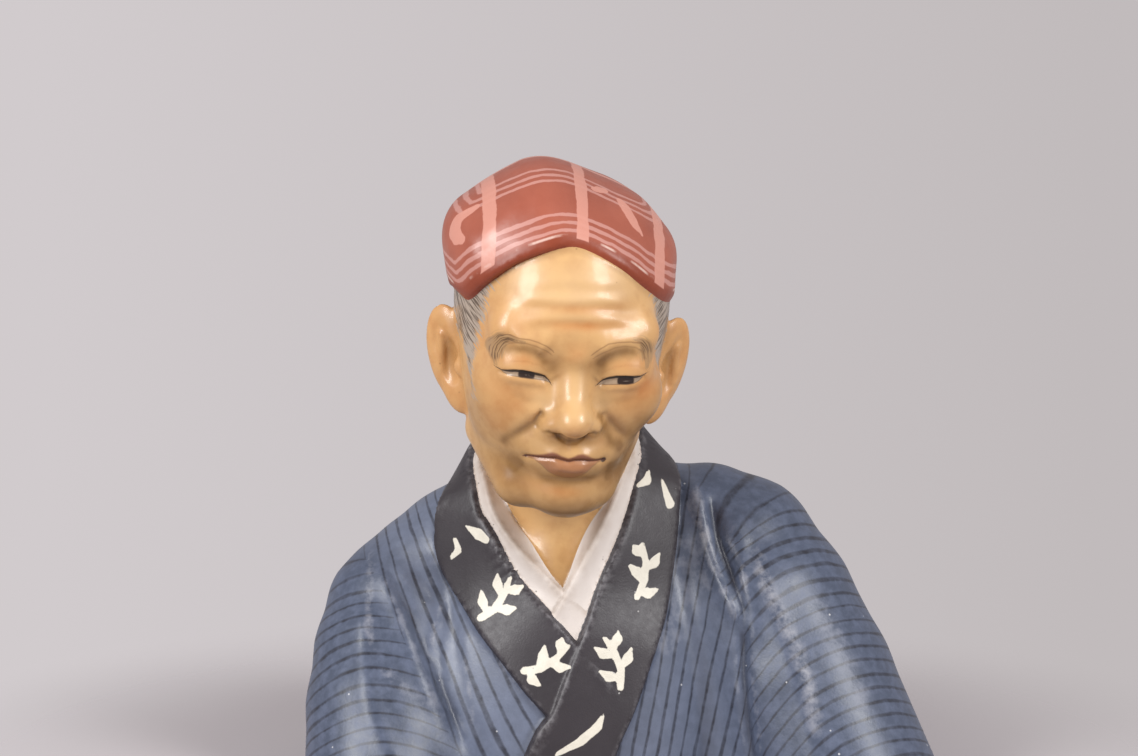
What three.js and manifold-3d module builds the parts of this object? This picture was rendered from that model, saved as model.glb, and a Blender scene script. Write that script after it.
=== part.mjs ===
// A painted clay doll's bust: an old tradesman's head in a knotted check headcloth, bowed over a
// crossed collar and a striped jacket. One moulded piece, cut flat below.
// Millimetres, +Z up, the face toward -Y, the underside on z = 0.
import * as THREE from 'three';
import Module from 'manifold-3d';

// driving sizes
const SHOULDER_W = 139;      // across both sleeves at the cut
const SHOULDER_H = 67;       // underside to the top of the shoulders
const CHEST_D = 62;          // chest to back at the cut
const HEAD_H = 70.2;         // under the chin to the top of the headcloth, along the head's own axis
const HEAD_UP = 27;          // the head's middle, between the ears, above the shoulders
const HEAD_FWD = 18;         // and forward of the shoulders
const BOW = 13;              // degrees the head is bowed
const TURN = 5.5;            // degrees it is turned to +X
const LEAN = 2.7;            // degrees it leans
const EAR_OUT = 52;          // degrees the ears stand out from the side of the head
const EAR_T = 1.9;           // half the ear's thickness
const EAR_DROP = 1.0;        // how much lower the +X ear sits
const MIDLINE = 1.0;         // the features sit this far to +X of the head's middle
const COLLAR_T = 1.15;       // half the dark collar's thickness
const UNDER_T = 0.85;        // half the white under-collar's thickness
const TUCK = 3.2;            // how far the white collar runs in under the dark one
const TUCK_DOWN = 2.0;       // how far below the dark collar it lies
const COLLAR_BED = 3.5;      // how much deeper the collars reach in toward the body
const FOLD = 1;              // height of the jacket's folds, as a share of what they are at this size
const LINES = 1;             // depth of the face's lines, the same way
const NET = 1.0;             // spacing of the net laid over the form
const TRIANGLES = 9300;      // the net is thinned to this many where the form is flat
const FACE_CARE = 7;         // how much more a face triangle counts in the thinning

// proportions: the form below is written for these sizes and follows the ones above
const headShare = HEAD_H / 70.2;
const bodyX = SHOULDER_W / 139, bodyY = CHEST_D / 62, bodyZ = SHOULDER_H / 67;
const HEAD_AT = [-1.2 * bodyX, -HEAD_FWD, SHOULDER_H + HEAD_UP];

// forms as signed distances
const rad = a => a * Math.PI / 180;
const clamp = (x, a, b) => x < a ? a : x > b ? b : x;
const hyp = (x, y, z) => Math.sqrt(x * x + y * y + z * z);
const smooth = (a, b, x) => { const t = clamp((x - a) / (b - a), 0, 1); return t * t * (3 - 2 * t); };
const bell = x => Math.exp(-x * x);

function egg(x, y, z, cx, cy, cz, rx, ry, rz) {
  x -= cx; y -= cy; z -= cz;
  const k0 = hyp(x / rx, y / ry, z / rz);
  const k1 = hyp(x / (rx * rx), y / (ry * ry), z / (rz * rz));
  return k0 * (k0 - 1) / Math.max(k1, 1e-9);
}
function limb(x, y, z, a, b, ra, rb) {
  const dx = b[0] - a[0], dy = b[1] - a[1], dz = b[2] - a[2];
  x -= a[0]; y -= a[1]; z -= a[2];
  const h = clamp((x * dx + y * dy + z * dz) / (dx * dx + dy * dy + dz * dz), 0, 1);
  return hyp(x - h * dx, y - h * dy, z - h * dz) - (ra + (rb - ra) * h);
}
function join(a, b, k) {
  const h = clamp(0.5 + 0.5 * (b - a) / k, 0, 1);
  return b + (a - b) * h - k * h * (1 - h);
}
const carve = (a, hole, k) => -join(-a, hole, k);

// a smooth curve through points, n steps to a span
function curve(points, n) {
  const dim = points[0].length;
  const mix = (a, b, k) => a.map((v, i) => v + (b[i] - v) * k);
  const p = [mix(points[1], points[0], 2), ...points,
    mix(points[points.length - 2], points[points.length - 1], 2)];
  const out = [];
  for (let i = 1; i < p.length - 2; i++) {
    for (let k = 0; k < n; k++) {
      const t = k / n, v = [];
      for (let c = 0; c < dim; c++) {
        const a = p[i - 1][c], b = p[i][c], d = p[i + 1][c], e = p[i + 2][c];
        v.push(0.5 * (2 * b + (d - a) * t + (2 * a - 5 * b + 4 * d - e) * t * t + (3 * b - a - 3 * d + e) * t ** 3));
      }
      out.push(v);
    }
  }
  out.push(points[points.length - 1]);
  return out;
}

// a line drawn on the front: distance, share of its length, and side
class Line {
  constructor(points) {
    this.p = points;
    this.sum = [0];
    for (let i = 1; i < points.length; i++) {
      this.sum.push(this.sum[i - 1] + Math.hypot(points[i][0] - points[i - 1][0], points[i][1] - points[i - 1][1]));
    }
    this.d = 0; this.t = 0; this.side = 1;
  }
  at(x, z) {
    let best = 1e9;
    for (let i = 1; i < this.p.length; i++) {
      const a = this.p[i - 1], b = this.p[i], len = this.sum[i] - this.sum[i - 1];
      const sx = b[0] - a[0], sz = b[1] - a[1];
      const h = clamp(((x - a[0]) * sx + (z - a[1]) * sz) / (len * len), 0, 1);
      const d = Math.hypot(x - a[0] - h * sx, z - a[1] - h * sz);
      if (d < best) {
        best = d;
        this.t = (this.sum[i - 1] + h * len) / this.sum[this.sum.length - 1];
        this.side = Math.sign(sx * (z - a[1]) - sz * (x - a[0]));
      }
    }
    this.d = best;
    return best;
  }
}

// the head's own frame: x across, f forward, z up, from its middle
const [HX, HF, HU] = (() => {
  const m = new THREE.Matrix4().makeRotationY(rad(LEAN))
    .multiply(new THREE.Matrix4().makeRotationZ(rad(TURN)))
    .multiply(new THREE.Matrix4().makeRotationX(rad(BOW)));
  return [[1, 0, 0], [0, -1, 0], [0, 0, 1]].map(v => new THREE.Vector3(...v).applyMatrix4(m).toArray());
})();

// wrinkles of the forehead: height, half length, width, depth
const FOREHEAD = [[21.2, 9, 1.3, 0.18], [17.9, 11, 1.3, 0.26], [14.6, 10, 1.2, 0.24]];
const MOUTH = new Line([[-8.0, -14.6], [-7.0, -14.3], [-4.7, -13.5], [-2.4, -12.9], [-0.5, -13.0], [0.9, -13.2],
  [2.7, -12.8], [4.9, -13.2], [6.8, -13.7], [7.9, -14.1]]);
const UPPER_LIP = new Line([[-5.0, -12.8], [-1.5, -11.9], [0.9, -12.5], [3.3, -12.1], [6.6, -13.2]]);
const LOWER_LIP = new Line([[-3.6, -14.3], [-1.2, -15.1], [1.4, -15.5], [4.0, -15.2], [6.0, -14.8]]);
// these are the same on both sides of the midline
const CHEEK_FOLD = new Line([[6.4, -4.4], [8.2, -7.0], [10.2, -9.6], [11.4, -12.6]]);
const CHEEK_PAD = new Line([[8.6, -4.0], [11.2, -6.8], [13.0, -10.0]]);
const EYE_BAG = new Line([[5.5, -0.8], [9, -2.1], [13.5, -1.2]]);
// each eye: upper lid's edge, lower lid; each brow, and where it swells and dies
const EYES = [[[[-15.6, 5.0], [-14.4, 4.7], [-12.7, 4.2], [-10.4, 4.0], [-8.4, 3.7], [-6.8, 3.2], [-4.8, 2.6], [-3.4, 2.0]],
  [[-15.0, 4.6], [-13.0, 3.4], [-11.1, 3.0], [-8.7, 2.6], [-6.3, 2.2], [-4.4, 2.1], [-3.4, 2.0]]],
[[[6.1, 1.8], [7.4, 2.7], [8.8, 3.5], [10.8, 3.8], [12.9, 3.6], [14.6, 3.4], [16.8, 3.2]],
  [[6.1, 1.8], [8.6, 1.9], [10.9, 2.1], [13.4, 2.4], [15.1, 2.7], [16.4, 3.1]]]]
  .map(([lid, low]) => [new Line(lid), new Line(low.map(([x, z]) => [x, z - 0.9]))]);
const BROWS = [[[[-15.0, 6.4], [-15.2, 9.6], [-13.6, 11.8], [-11.4, 11.7], [-8.5, 11.2], [-6.2, 10.5], [-3.6, 9.0]], 0.12],
  [[[4.7, 8.3], [7.2, 10.0], [9.9, 11.1], [12.3, 11.4], [14.6, 10.5], [16.1, 8.0], [16.6, 5.4]], 0.25]]
  .map(([points, swell]) => [new Line(points), swell]);

function face(x, f, z) {
  const ax = Math.abs(x), jx = Math.abs(x + 0.7), cx = Math.abs(x - MIDLINE);
  // skull, cheeks and jaw, chin, mouth and cheekbone
  let d = egg(ax, f, z, 0, -3, 11, 22.6, 29, 26.6);
  d = join(d, egg(jx, f, z, 0, 8, -4, 19.3, 18.6, 22), 6);
  d = join(d, limb(jx, f, z, [13.2, 4, -16], [6.8, 16.0, -22.2], 5.2, 6.3), 3);
  d = join(d, egg(cx, f, z, 0, 19.6, -22.4, 8.0, 7.2, 6.6), 3);
  d = join(d, egg(cx, f, z, 0, 16.2, -13.2, 11.8, 12.6, 8), 3);
  d = join(d, egg(cx, f, z, 10.8, 15.4, -2.5, 8.4, 8.4, 8.4), 3);
  // brow, the hollow beside the bridge, and the eye under its lid
  d = join(d, limb(cx, f, z, [4.5, 21.4, 11.2], [13.0, 18.8, 11.4], 3.4, 4.3), 4);
  d = carve(d, egg(cx, f, z, 6.4, 30.6, 4.0, 4.4, 5.0, 3.4), 4);
  d = join(d, egg(cx, f, z, 10.0, 18.4, 4.4, 6.9, 6.9, 6.4), 2.2);
  // nose: bridge, tip, wings and nostrils
  let n = limb(cx, f, z, [0, 23.4, 6.8], [0, 28.2, -3.2], 1.9, 3.0);
  n = join(n, egg(cx, f, z, 0, 29.5, -4.4, 3.7, 4.1, 3.3), 2.2);
  n = join(n, egg(cx, f, z, 4.1, 26.6, -5.7, 2.5, 3.4, 2.4), 1.6);
  d = join(d, n, 2.8);
  d = carve(d, egg(cx, f, z, 2.4, 29.0, -8.3, 1.5, 1.6, 0.8), 0.8);
  const front = smooth(8, 18, f);
  if (front <= 0 || Math.abs(d) > 6) return d;
  // the relief worked on the front
  let r = 0;
  for (const [height, half, w, deep] of FOREHEAD) {
    const arc = height - 0.012 * cx * cx + 0.25 * Math.sin(x * 0.5 + height);
    const reach = smooth(half + 3, half - 3, cx);
    r += deep * reach * (0.7 * bell((z - arc - 2) / (w * 1.1)) - bell((z - arc) / w));
  }
  r -= 0.55 * bell(MOUTH.at(x, z) / 0.42) * smooth(-0.02, 0.05, MOUTH.t) * smooth(1.02, 0.95, MOUTH.t);
  r += 0.50 * bell(UPPER_LIP.at(x, z) / 0.95) * smooth(0, 0.2, UPPER_LIP.t) * smooth(1, 0.8, UPPER_LIP.t);
  r += 0.95 * bell(LOWER_LIP.at(x, z) / 1.35) * smooth(0, 0.28, LOWER_LIP.t) * smooth(1, 0.72, LOWER_LIP.t);
  r -= 0.42 * bell((z + 18.6) / 1.4) * bell(cx / 5);
  for (const [endX, endZ] of [MOUTH.p[0], MOUTH.p[MOUTH.p.length - 1]]) r -= 0.40 * bell(Math.hypot(x - endX, z - endZ));
  r -= 0.50 * bell(CHEEK_FOLD.at(cx, z) / 1.15) * smooth(1, 0.5, CHEEK_FOLD.t);
  r += 0.34 * bell(CHEEK_PAD.at(cx, z) / 2.0);
  r -= 0.18 * bell((x - MIDLINE) / 0.8) * smooth(-12, -10.4, z) * smooth(-7.6, -9, z);
  for (const [lid, low] of EYES) {
    lid.at(x, z);
    const within = smooth(0, 0.08, lid.t) * smooth(1, 0.92, lid.t), over = lid.side * lid.d;
    r += 0.34 * smooth(-0.1, 0.45, over) * bell(Math.max(over, 0) / 2.6) * within;
    r -= 0.26 * bell((over + 0.5) / 0.55) * within;
    r += 0.20 * bell(low.at(x, z) / 0.8) * smooth(0, 0.2, low.t) * smooth(1, 0.8, low.t);
  }
  r -= 0.16 * bell(EYE_BAG.at(cx, z)) * smooth(0, 0.3, EYE_BAG.t) * smooth(1, 0.7, EYE_BAG.t);
  for (const [brow, swell] of BROWS) {
    r += 0.62 * bell(brow.at(x, z) / 2.0) * smooth(0, swell, brow.t) * smooth(1, 0.7, brow.t);
  }
  r -= 0.8 * bell(Math.hypot(f - 13, z - 10) / 6) * smooth(14, 18, cx);
  return d - r * LINES * front;
}

function ear(x, f, z) {
  const out = rad(EAR_OUT), px = Math.abs(x) - 20.3, pf = f - 2.0;
  const u0 = px * Math.sin(out) - pf * Math.cos(out);
  const n = px * Math.cos(out) + pf * Math.sin(out);
  const v = z + 1.6 + (x > 0 ? EAR_DROP : 0), u = u0 - 0.19 * v;
  let d = join(egg(u, v, n, 3.3, 0.5, 0, 5.8, 10.1, EAR_T), egg(u, v, n, 1.7, -8.2, 0.1, 3.0, 3.9, EAR_T * 0.9), 2);
  d = carve(d, egg(u, v, n, 2.6, -0.4, 2.6, 3.1, 5.4, 2.5), 0.8);
  d = carve(d, egg(u, v, n, 4.6, 3.6, 2.2, 2.6, 4.6, 1.3), 0.8);
  d = join(d, limb(u, v, n, [5.2, -3, 0.7], [4.3, 4.4, 0.8], 0.7, 0.8), 1.0);
  d = join(d, egg(u, v, n, -0.2, -1.5, 1.6, 1.3, 1.8, 1.2), 0.8);
  return join(d, egg(u0, v, n, -0.5, -1, -1.6, 3.6, 8.6, 2.2), 1.6);
}

// headcloth: the height of its lower edge at angles round the head, 0 in front and + to +X
const EDGE_AT = [-180, -110, -75, -58, -44, -30, -16, -3, 9, 23, 35, 48, 60, 75, 110, 180];
const EDGE_Z = [2, 12, 13.6, 14.0, 19.2, 24.4, 27.5, 29.0, 28.0, 24.9, 20.8, 17.0, 14.6, 13.0, 11.5, 2];
const EDGE = curve(EDGE_AT.map((a, i) => [a, EDGE_Z[i]]), 4);
function clothEdge(x, f) {
  const a = Math.atan2(x, f + 3) * 180 / Math.PI;
  let i = 1;
  while (i < EDGE.length - 1 && a > EDGE[i][0]) i++;
  const [a0, z0] = EDGE[i - 1], [a1, z1] = EDGE[i];
  return z0 + (z1 - z0) * clamp((a - a0) / (a1 - a0), 0, 1);
}
const CLOTH_FOLD_L = new Line([[-24, 16], [-20, 27], [-12, 35]]);
const CLOTH_FOLD_R = new Line([[23, 15], [19, 26], [11, 33]]);
function headcloth(x, f, z) {
  const ax = Math.abs(x);
  let d = egg(x, f, z, -0.4, -4.6, 16.2, 23.9, 30.4, 21.3);
  d = join(d, limb(x, (f + 2) * 0.6, z, [-18.1, 0, 25.3], [-6.2, 0, 30.9], 7.0, 9.0), 7);
  d = join(d, limb(x, (f + 2) * 0.6, z, [16.4, 0, 22.1], [11.4, 0, 26.1], 6.6, 7.6), 2);
  d -= FOLD * smooth(-4, 8, f) * (0.4 * bell(CLOTH_FOLD_L.at(x, z) / 1.8) + 0.3 * bell(CLOTH_FOLD_R.at(x, z) / 1.6));
  d = carve(d, (z - clothEdge(x, f)) * 0.72, 1.6);
  // the roll round the back and the knot with its two ends
  let knot = egg(x, f, z, 0, -34.5, 3, 5.2, 3.4, 4.2);
  knot = join(knot, limb(x, f, z, [1.5, -35, 1], [6.5, -34, -8], 1.9, 2.9), 1.2);
  knot = join(knot, limb(x, f, z, [-1.5, -35, 1], [-5.5, -33.6, -7], 1.9, 2.9), 1.2);
  const roll = Math.min(limb(ax, f, z, [22.4, -6, 12.4], [17.2, -23, 8], 0.8, 2.0),
    limb(ax, f, z, [17.2, -23, 8], [0, -33.5, 3.5], 2.0, 2.6));
  return join(d, join(roll, knot, 1.5), 2.2);
}

// jacket: sleeves as chains of rounds (x, y, z, radius) from the neck down to the cut
const SLEEVE_R = [[16, 9, 50.0, 15.2], [31, 6, 50.2, 16], [37.6, 5, 46.2, 18], [43.9, 0, 35.6, 19.5],
  [51.4, -6, 20.2, 20.1], [61.0, -15, -3.0, 20.5]];
const SLEEVE_L = [[-16, 9, 50.5, 13], [-24.6, 7, 46.0, 13.9], [-30.2, 6, 41.5, 14], [-35.2, 5, 37.4, 14],
  [-37.2, 3, 34.4, 15], [-38.7, -2, 25.8, 16], [-39.0, -8, 15.3, 17], [-37.8, -15, -2.2, 18.5]];
// the jacket's neckline under the back of the collar, and the webs of cloth under the arms
const NECKLINE = [[-21, 7, 50.5, 11.5], [-12, 14, 55, 12], [0, 17.5, 57, 12], [12, 14.5, 56.5, 12], [20, 8, 54, 12]];
const WEB_R = [[30, 4, 34, 13], [40, -3, 12, 13], [44, -7, -6, 14]];
const WEB_L = [[-28, 4, 26, 12], [-29, 0, 8, 13], [-29, -4, -6, 14]];
// folds and furrows of its front: points in x and z, width, height
const FOLDS = [
  [[[-42, 52], [-37, 42], [-30, 26], [-22, 8], [-17, -4]], 2.4, 1.0],
  [[[-38, 50], [-30, 38], [-25, 30], [-21, 14], [-17, 0]], 1.8, 0.45],
  [[[-28, 56], [-29, 46], [-24, 36], [-19, 22], [-12, 4]], 1.7, 0.4],
  [[[-26, 40], [-28.5, 30], [-27, 22]], 1.2, 0.4],
  [[[-22, 34], [-21, 26], [-18.5, 14]], 1.4, 0.4],
  [[[-44, 40], [-43, 28], [-40, 16], [-33, 4]], 2.4, 0.7],
  [[[-41, 49], [-35, 40], [-28, 25], [-20, 8]], 1.3, -0.9],
  [[[-31, 52], [-26, 40], [-22, 30], [-17, 14]], 1.2, -0.35],
  [[[25.5, 65], [29, 60], [31, 49], [34.5, 41], [37, 35]], 1.9, 1.3],
  [[[36, 58], [38, 50], [37, 41], [36, 34]], 1.6, 0.7],
  [[[40, 52], [46, 34], [51, 16], [54, 0]], 3.0, 0.8],
  [[[33, 56], [38, 46], [40, 30]], 1.5, 0.5],
  [[[31, 62], [33, 52], [36.5, 43], [38.5, 34]], 1.3, -1.3],
  [[[38.3, 37], [38, 28], [39, 16], [41, 2]], 1.0, -1.1],
].map(([points, w, h]) => {
  const line = new Line(curve(points, 3));
  const xs = line.p.map(v => v[0]), zs = line.p.map(v => v[1]);
  return { line, w, h, x0: Math.min(...xs) - 3 * w, x1: Math.max(...xs) + 3 * w,
    z0: Math.min(...zs) - 3 * w, z1: Math.max(...zs) + 3 * w };
});
function chain(x, y, z, nodes) {
  let d = 1e9;
  for (let i = 1; i < nodes.length; i++) {
    const c = limb(x, y, z, nodes[i - 1], nodes[i], nodes[i - 1][3], nodes[i][3]);
    d = i === 1 ? c : join(d, c, 1.2);
  }
  return d;
}
function jacket(x, y, z) {
  let d = join(egg(x, y, z, 1, 5, 8, 36, 31, 58), egg(x, y, z, 0, 15, 46, 24, 15.5, 24), 8);
  d = join(d, chain(x, y, z, SLEEVE_L), 5);
  d = join(d, chain(x, y, z, SLEEVE_R), 5);
  d = join(d, chain(x, y, z, NECKLINE), 3);
  d = join(d, Math.min(chain(x, y, z, WEB_L), chain(x, y, z, WEB_R)), 4);
  const front = smooth(8, -4, y);
  if (front > 0 && Math.abs(d) < 8) {
    let r = 0;
    for (const { line, w, h, x0, x1, z0, z1 } of FOLDS) {
      if (x < x0 || x > x1 || z < z0 || z > z1) continue;
      r += h * bell(line.at(x, z) / w) * smooth(0, 0.15, line.t) * smooth(1, 0.8, line.t);
    }
    d -= r * FOLD * front;
  }
  // hollowed round the neck
  return carve(d, limb(x, y, z, [-1, -10, 84], [-0.5, -3, 62], 20, 18), 1.5);
}

// a flat band between an inner and an outer edge, laid round the neck and over the chest
const cross = (a, b) => [a[1] * b[2] - a[2] * b[1], a[2] * b[0] - a[0] * b[2], a[0] * b[1] - a[1] * b[0]];
const minus = (a, b) => [a[0] - b[0], a[1] - b[1], a[2] - b[2]];
const unit = v => { const l = hyp(...v) || 1; return [v[0] / l, v[1] / l, v[2] / l]; };
const STEPS = 5;
class Band {
  constructor(inner, outer, half, turn) {
    this.half = half;
    this.inner = curve(inner, STEPS);
    const o = curve(outer, STEPS);
    this.c = this.inner.map((p, i) => p.map((v, k) => (v + o[i][k]) / 2));
    this.w = this.inner.map((p, i) => unit(minus(p, o[i])));
    this.h = this.inner.map((p, i) => hyp(...minus(p, o[i])) / 2);
    this.n = this.c.map((p, i) => {
      const t = minus(this.c[Math.min(i + 1, this.c.length - 1)], this.c[Math.max(i - 1, 0)]);
      return unit(cross(this.w[i], t)).map(v => v * turn);
    });
    const all = [...this.inner, ...o];
    this.lo = [0, 1, 2].map(k => Math.min(...all.map(p => p[k])) - 6);
    this.hi = [0, 1, 2].map(k => Math.max(...all.map(p => p[k])) + 6);
    this.flat = Float64Array.from(this.c.flatMap((p, i) => [...p, ...this.w[i], ...this.n[i], this.h[i]]));
  }
  at(x, y, z) {
    const { lo, hi, half, flat } = this;
    if (x < lo[0] || y < lo[1] || z < lo[2] || x > hi[0] || y > hi[1] || z > hi[2]) return 6;
    let near = 0, best = 1e9;
    for (let i = 0; i < flat.length; i += 10) {
      const dx = x - flat[i], dy = y - flat[i + 1], dz = z - flat[i + 2], d = dx * dx + dy * dy + dz * dz;
      if (d < best) { best = d; near = i; }
    }
    if (best > 400) return 6;
    best = 1e9;
    let out = 6;
    for (let i = Math.max(near - 10, 0); i <= Math.min(near, flat.length - 20); i += 10) {
      const sx = flat[i + 10] - flat[i], sy = flat[i + 11] - flat[i + 1], sz = flat[i + 12] - flat[i + 2];
      const l2 = sx * sx + sy * sy + sz * sz, qx = x - flat[i], qy = y - flat[i + 1], qz = z - flat[i + 2];
      const t = clamp((qx * sx + qy * sy + qz * sz) / l2, 0, 1), s = 1 - t;
      const rx = qx - t * sx, ry = qy - t * sy, rz = qz - t * sz;
      const wx = flat[i + 3] * s + flat[i + 13] * t, wy = flat[i + 4] * s + flat[i + 14] * t, wz = flat[i + 5] * s + flat[i + 15] * t;
      const nx = flat[i + 6] * s + flat[i + 16] * t, ny = flat[i + 7] * s + flat[i + 17] * t, nz = flat[i + 8] * s + flat[i + 18] * t;
      const wide = flat[i + 9] * s + flat[i + 19] * t;
      const u = Math.abs(rx * wx + ry * wy + rz * wz) / hyp(wx, wy, wz);
      const v = Math.abs((rx * nx + ry * ny + rz * nz) / hyp(nx, ny, nz) + COLLAR_BED / 2);
      const end = Math.abs(rx * sx + ry * sy + rz * sz) / Math.sqrt(l2);
      const far = Math.max(u - wide, 0) ** 2 + v * v + end * end;
      if (far < best) {
        best = far;
        const round = Math.min(0.6, half * 0.9), a = u - wide + round, b = v - half - COLLAR_BED / 2 + round;
        out = hyp(Math.max(a, 0), Math.max(b, 0), end) + Math.min(Math.max(a, b), 0) - round;
      }
    }
    return Math.min(out, 6);
  }
  // the outer edge of the layer beneath, run in under this one
  under(count) {
    return Array.from({ length: count }, (_, i) => {
      const k = i * STEPS;
      return this.inner[k].map((v, c) => v - this.n[k][c] * TUCK_DOWN - this.w[k][c] * TUCK);
    });
  }
}
// the dark collar, the +X side laid over the other: matching points of its two edges
const DARK_R = new Band(
  [[-1.5, 14, 80], [10.5, 10, 79], [15.8, 2, 75], [16, -5, 68.9], [15, -10.5, 64.1], [11.9, -16.5, 54.5],
    [7.6, -20.3, 43.2], [4.6, -23.2, 36], [2.7, -24.4, 32.2], [-0.8, -26, 23.5], [-3.4, -26.7, 16.4],
    [-6.8, -26.5, 9], [-11.3, -24.9, -2.3]],
  [[-1.5, 22.5, 68.5], [14.5, 18, 68.5], [22, 8.5, 67.2], [24, 0.5, 66.3], [24.6, -5.5, 62.4], [23.8, -10.4, 51.3],
    [22, -14.2, 41.8], [19.8, -19.3, 33], [18, -21.7, 26.9], [14.6, -24.5, 18], [11.8, -25.7, 12.7],
    [9.7, -26.3, 8.9], [5.7, -26.5, -1.8]], COLLAR_T, 1);
const DARK_L = new Band(
  [[1.5, 14, 80], [-11, 10, 78.5], [-18.3, 2, 73.2], [-20, -1, 69.6], [-19.2, -8.5, 63.8], [-17.3, -13.5, 57],
    [-13.6, -17, 50.7], [-8.5, -18.5, 44.1], [-3.4, -21.7, 38.7], [0.8, -23.2, 34.3], [2.7, -23.8, 32.1],
    [7.4, -24.5, 26.6], [11.6, -24.3, 21.6]],
  [[1.5, 22.5, 68.5], [-14.5, 18, 67], [-22.8, 9.5, 63.4], [-25, 2, 61.6], [-26.9, -5, 59.7], [-28, -5.3, 52.5],
    [-25.7, -8.5, 45.4], [-19.9, -16.1, 36], [-14.9, -20.9, 30.1], [-10.2, -23.8, 24.5], [-7.6, -24.8, 21.5],
    [-2.5, -26.1, 16.2], [2.1, -26.5, 11.4]], COLLAR_T * 0.92, -1);
// the white collar inside it: its inner edge, the outer one hidden
const WHITE_R_EDGE = [[-1.5, 11, 80.5], [8.7, 8, 79.5], [13.2, 0, 75.5], [14.4, -7, 70.3], [11.9, -12.3, 65.7],
  [7.8, -17.5, 57.5], [1.7, -21.2, 46.2], [-1.5, -21.6, 40.4], [-3.4, -20.8, 35.3], [-5.3, -20.5, 30]];
const WHITE_L_EDGE = [[1.5, 11, 80.5], [-9.2, 8, 79], [-15.2, 0.5, 75], [-18.4, -3.6, 70.2], [-16.7, -10, 64.5],
  [-14.7, -14.2, 58.7], [-10.8, -17.4, 53.4], [-5.3, -19.8, 48], [0.2, -20.9, 42.7], [4.4, -20.9, 38.6],
  [6.6, -20.6, 36.6]];
const WHITE_R = new Band(WHITE_R_EDGE, DARK_R.under(WHITE_R_EDGE.length), UNDER_T, 1);
const WHITE_L = new Band(WHITE_L_EDGE, DARK_L.under(WHITE_L_EDGE.length), UNDER_T * 0.9, -1);

// the whole figure
function figure(X, Y, Z) {
  const x = X / bodyX, y = Y / bodyY, z = Z / bodyZ, least = Math.min(bodyX, bodyY, bodyZ);
  let d = 12, cloth = 12;
  const hx = (X - HEAD_AT[0]) / headShare, hy = (Y - HEAD_AT[1]) / headShare, hz = (Z - HEAD_AT[2]) / headShare;
  if (hyp(hx, hy, hz - 2) < 52) {
    const qx = hx * HX[0] + hy * HX[1] + hz * HX[2];
    const qf = hx * HF[0] + hy * HF[1] + hz * HF[2];
    const qz = hx * HU[0] + hy * HU[1] + hz * HU[2];
    d = face(qx, qf, qz);
    if (Math.abs(qx) > 13 && Math.abs(qz) < 20) d = join(d, ear(qx, qf, qz), 1.2);
    d *= headShare;
    if (qz > -14) cloth = headcloth(qx, qf, qz) * headShare;
  }
  if (Z < HEAD_AT[2] - 2) {
    let neck = limb(X, Y, Z, [HEAD_AT[0] + 0.2, HEAD_AT[1] + 6, HEAD_AT[2] - 14], [0, 2 * bodyY, 56 * bodyZ], 13.6, 15.4);
    neck = join(neck, egg(x, y, z, -0.5, -2, 38, 17, 18.7, 22) * least, 6);
    d = join(d, neck, 2.2);
  }
  d = join(d, cloth, 0.5);
  d = join(d, Math.min(WHITE_R.at(x, y, z), WHITE_L.at(x, y, z)) * least, 0.5);
  d = join(d, join(DARK_R.at(x, y, z), DARK_L.at(x, y, z), 0.4) * least, 0.5);
  if (z < 76) d = join(d, jacket(x, y, z) * least, 0.6);
  return Math.max(d, -3 - Z);
}

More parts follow.
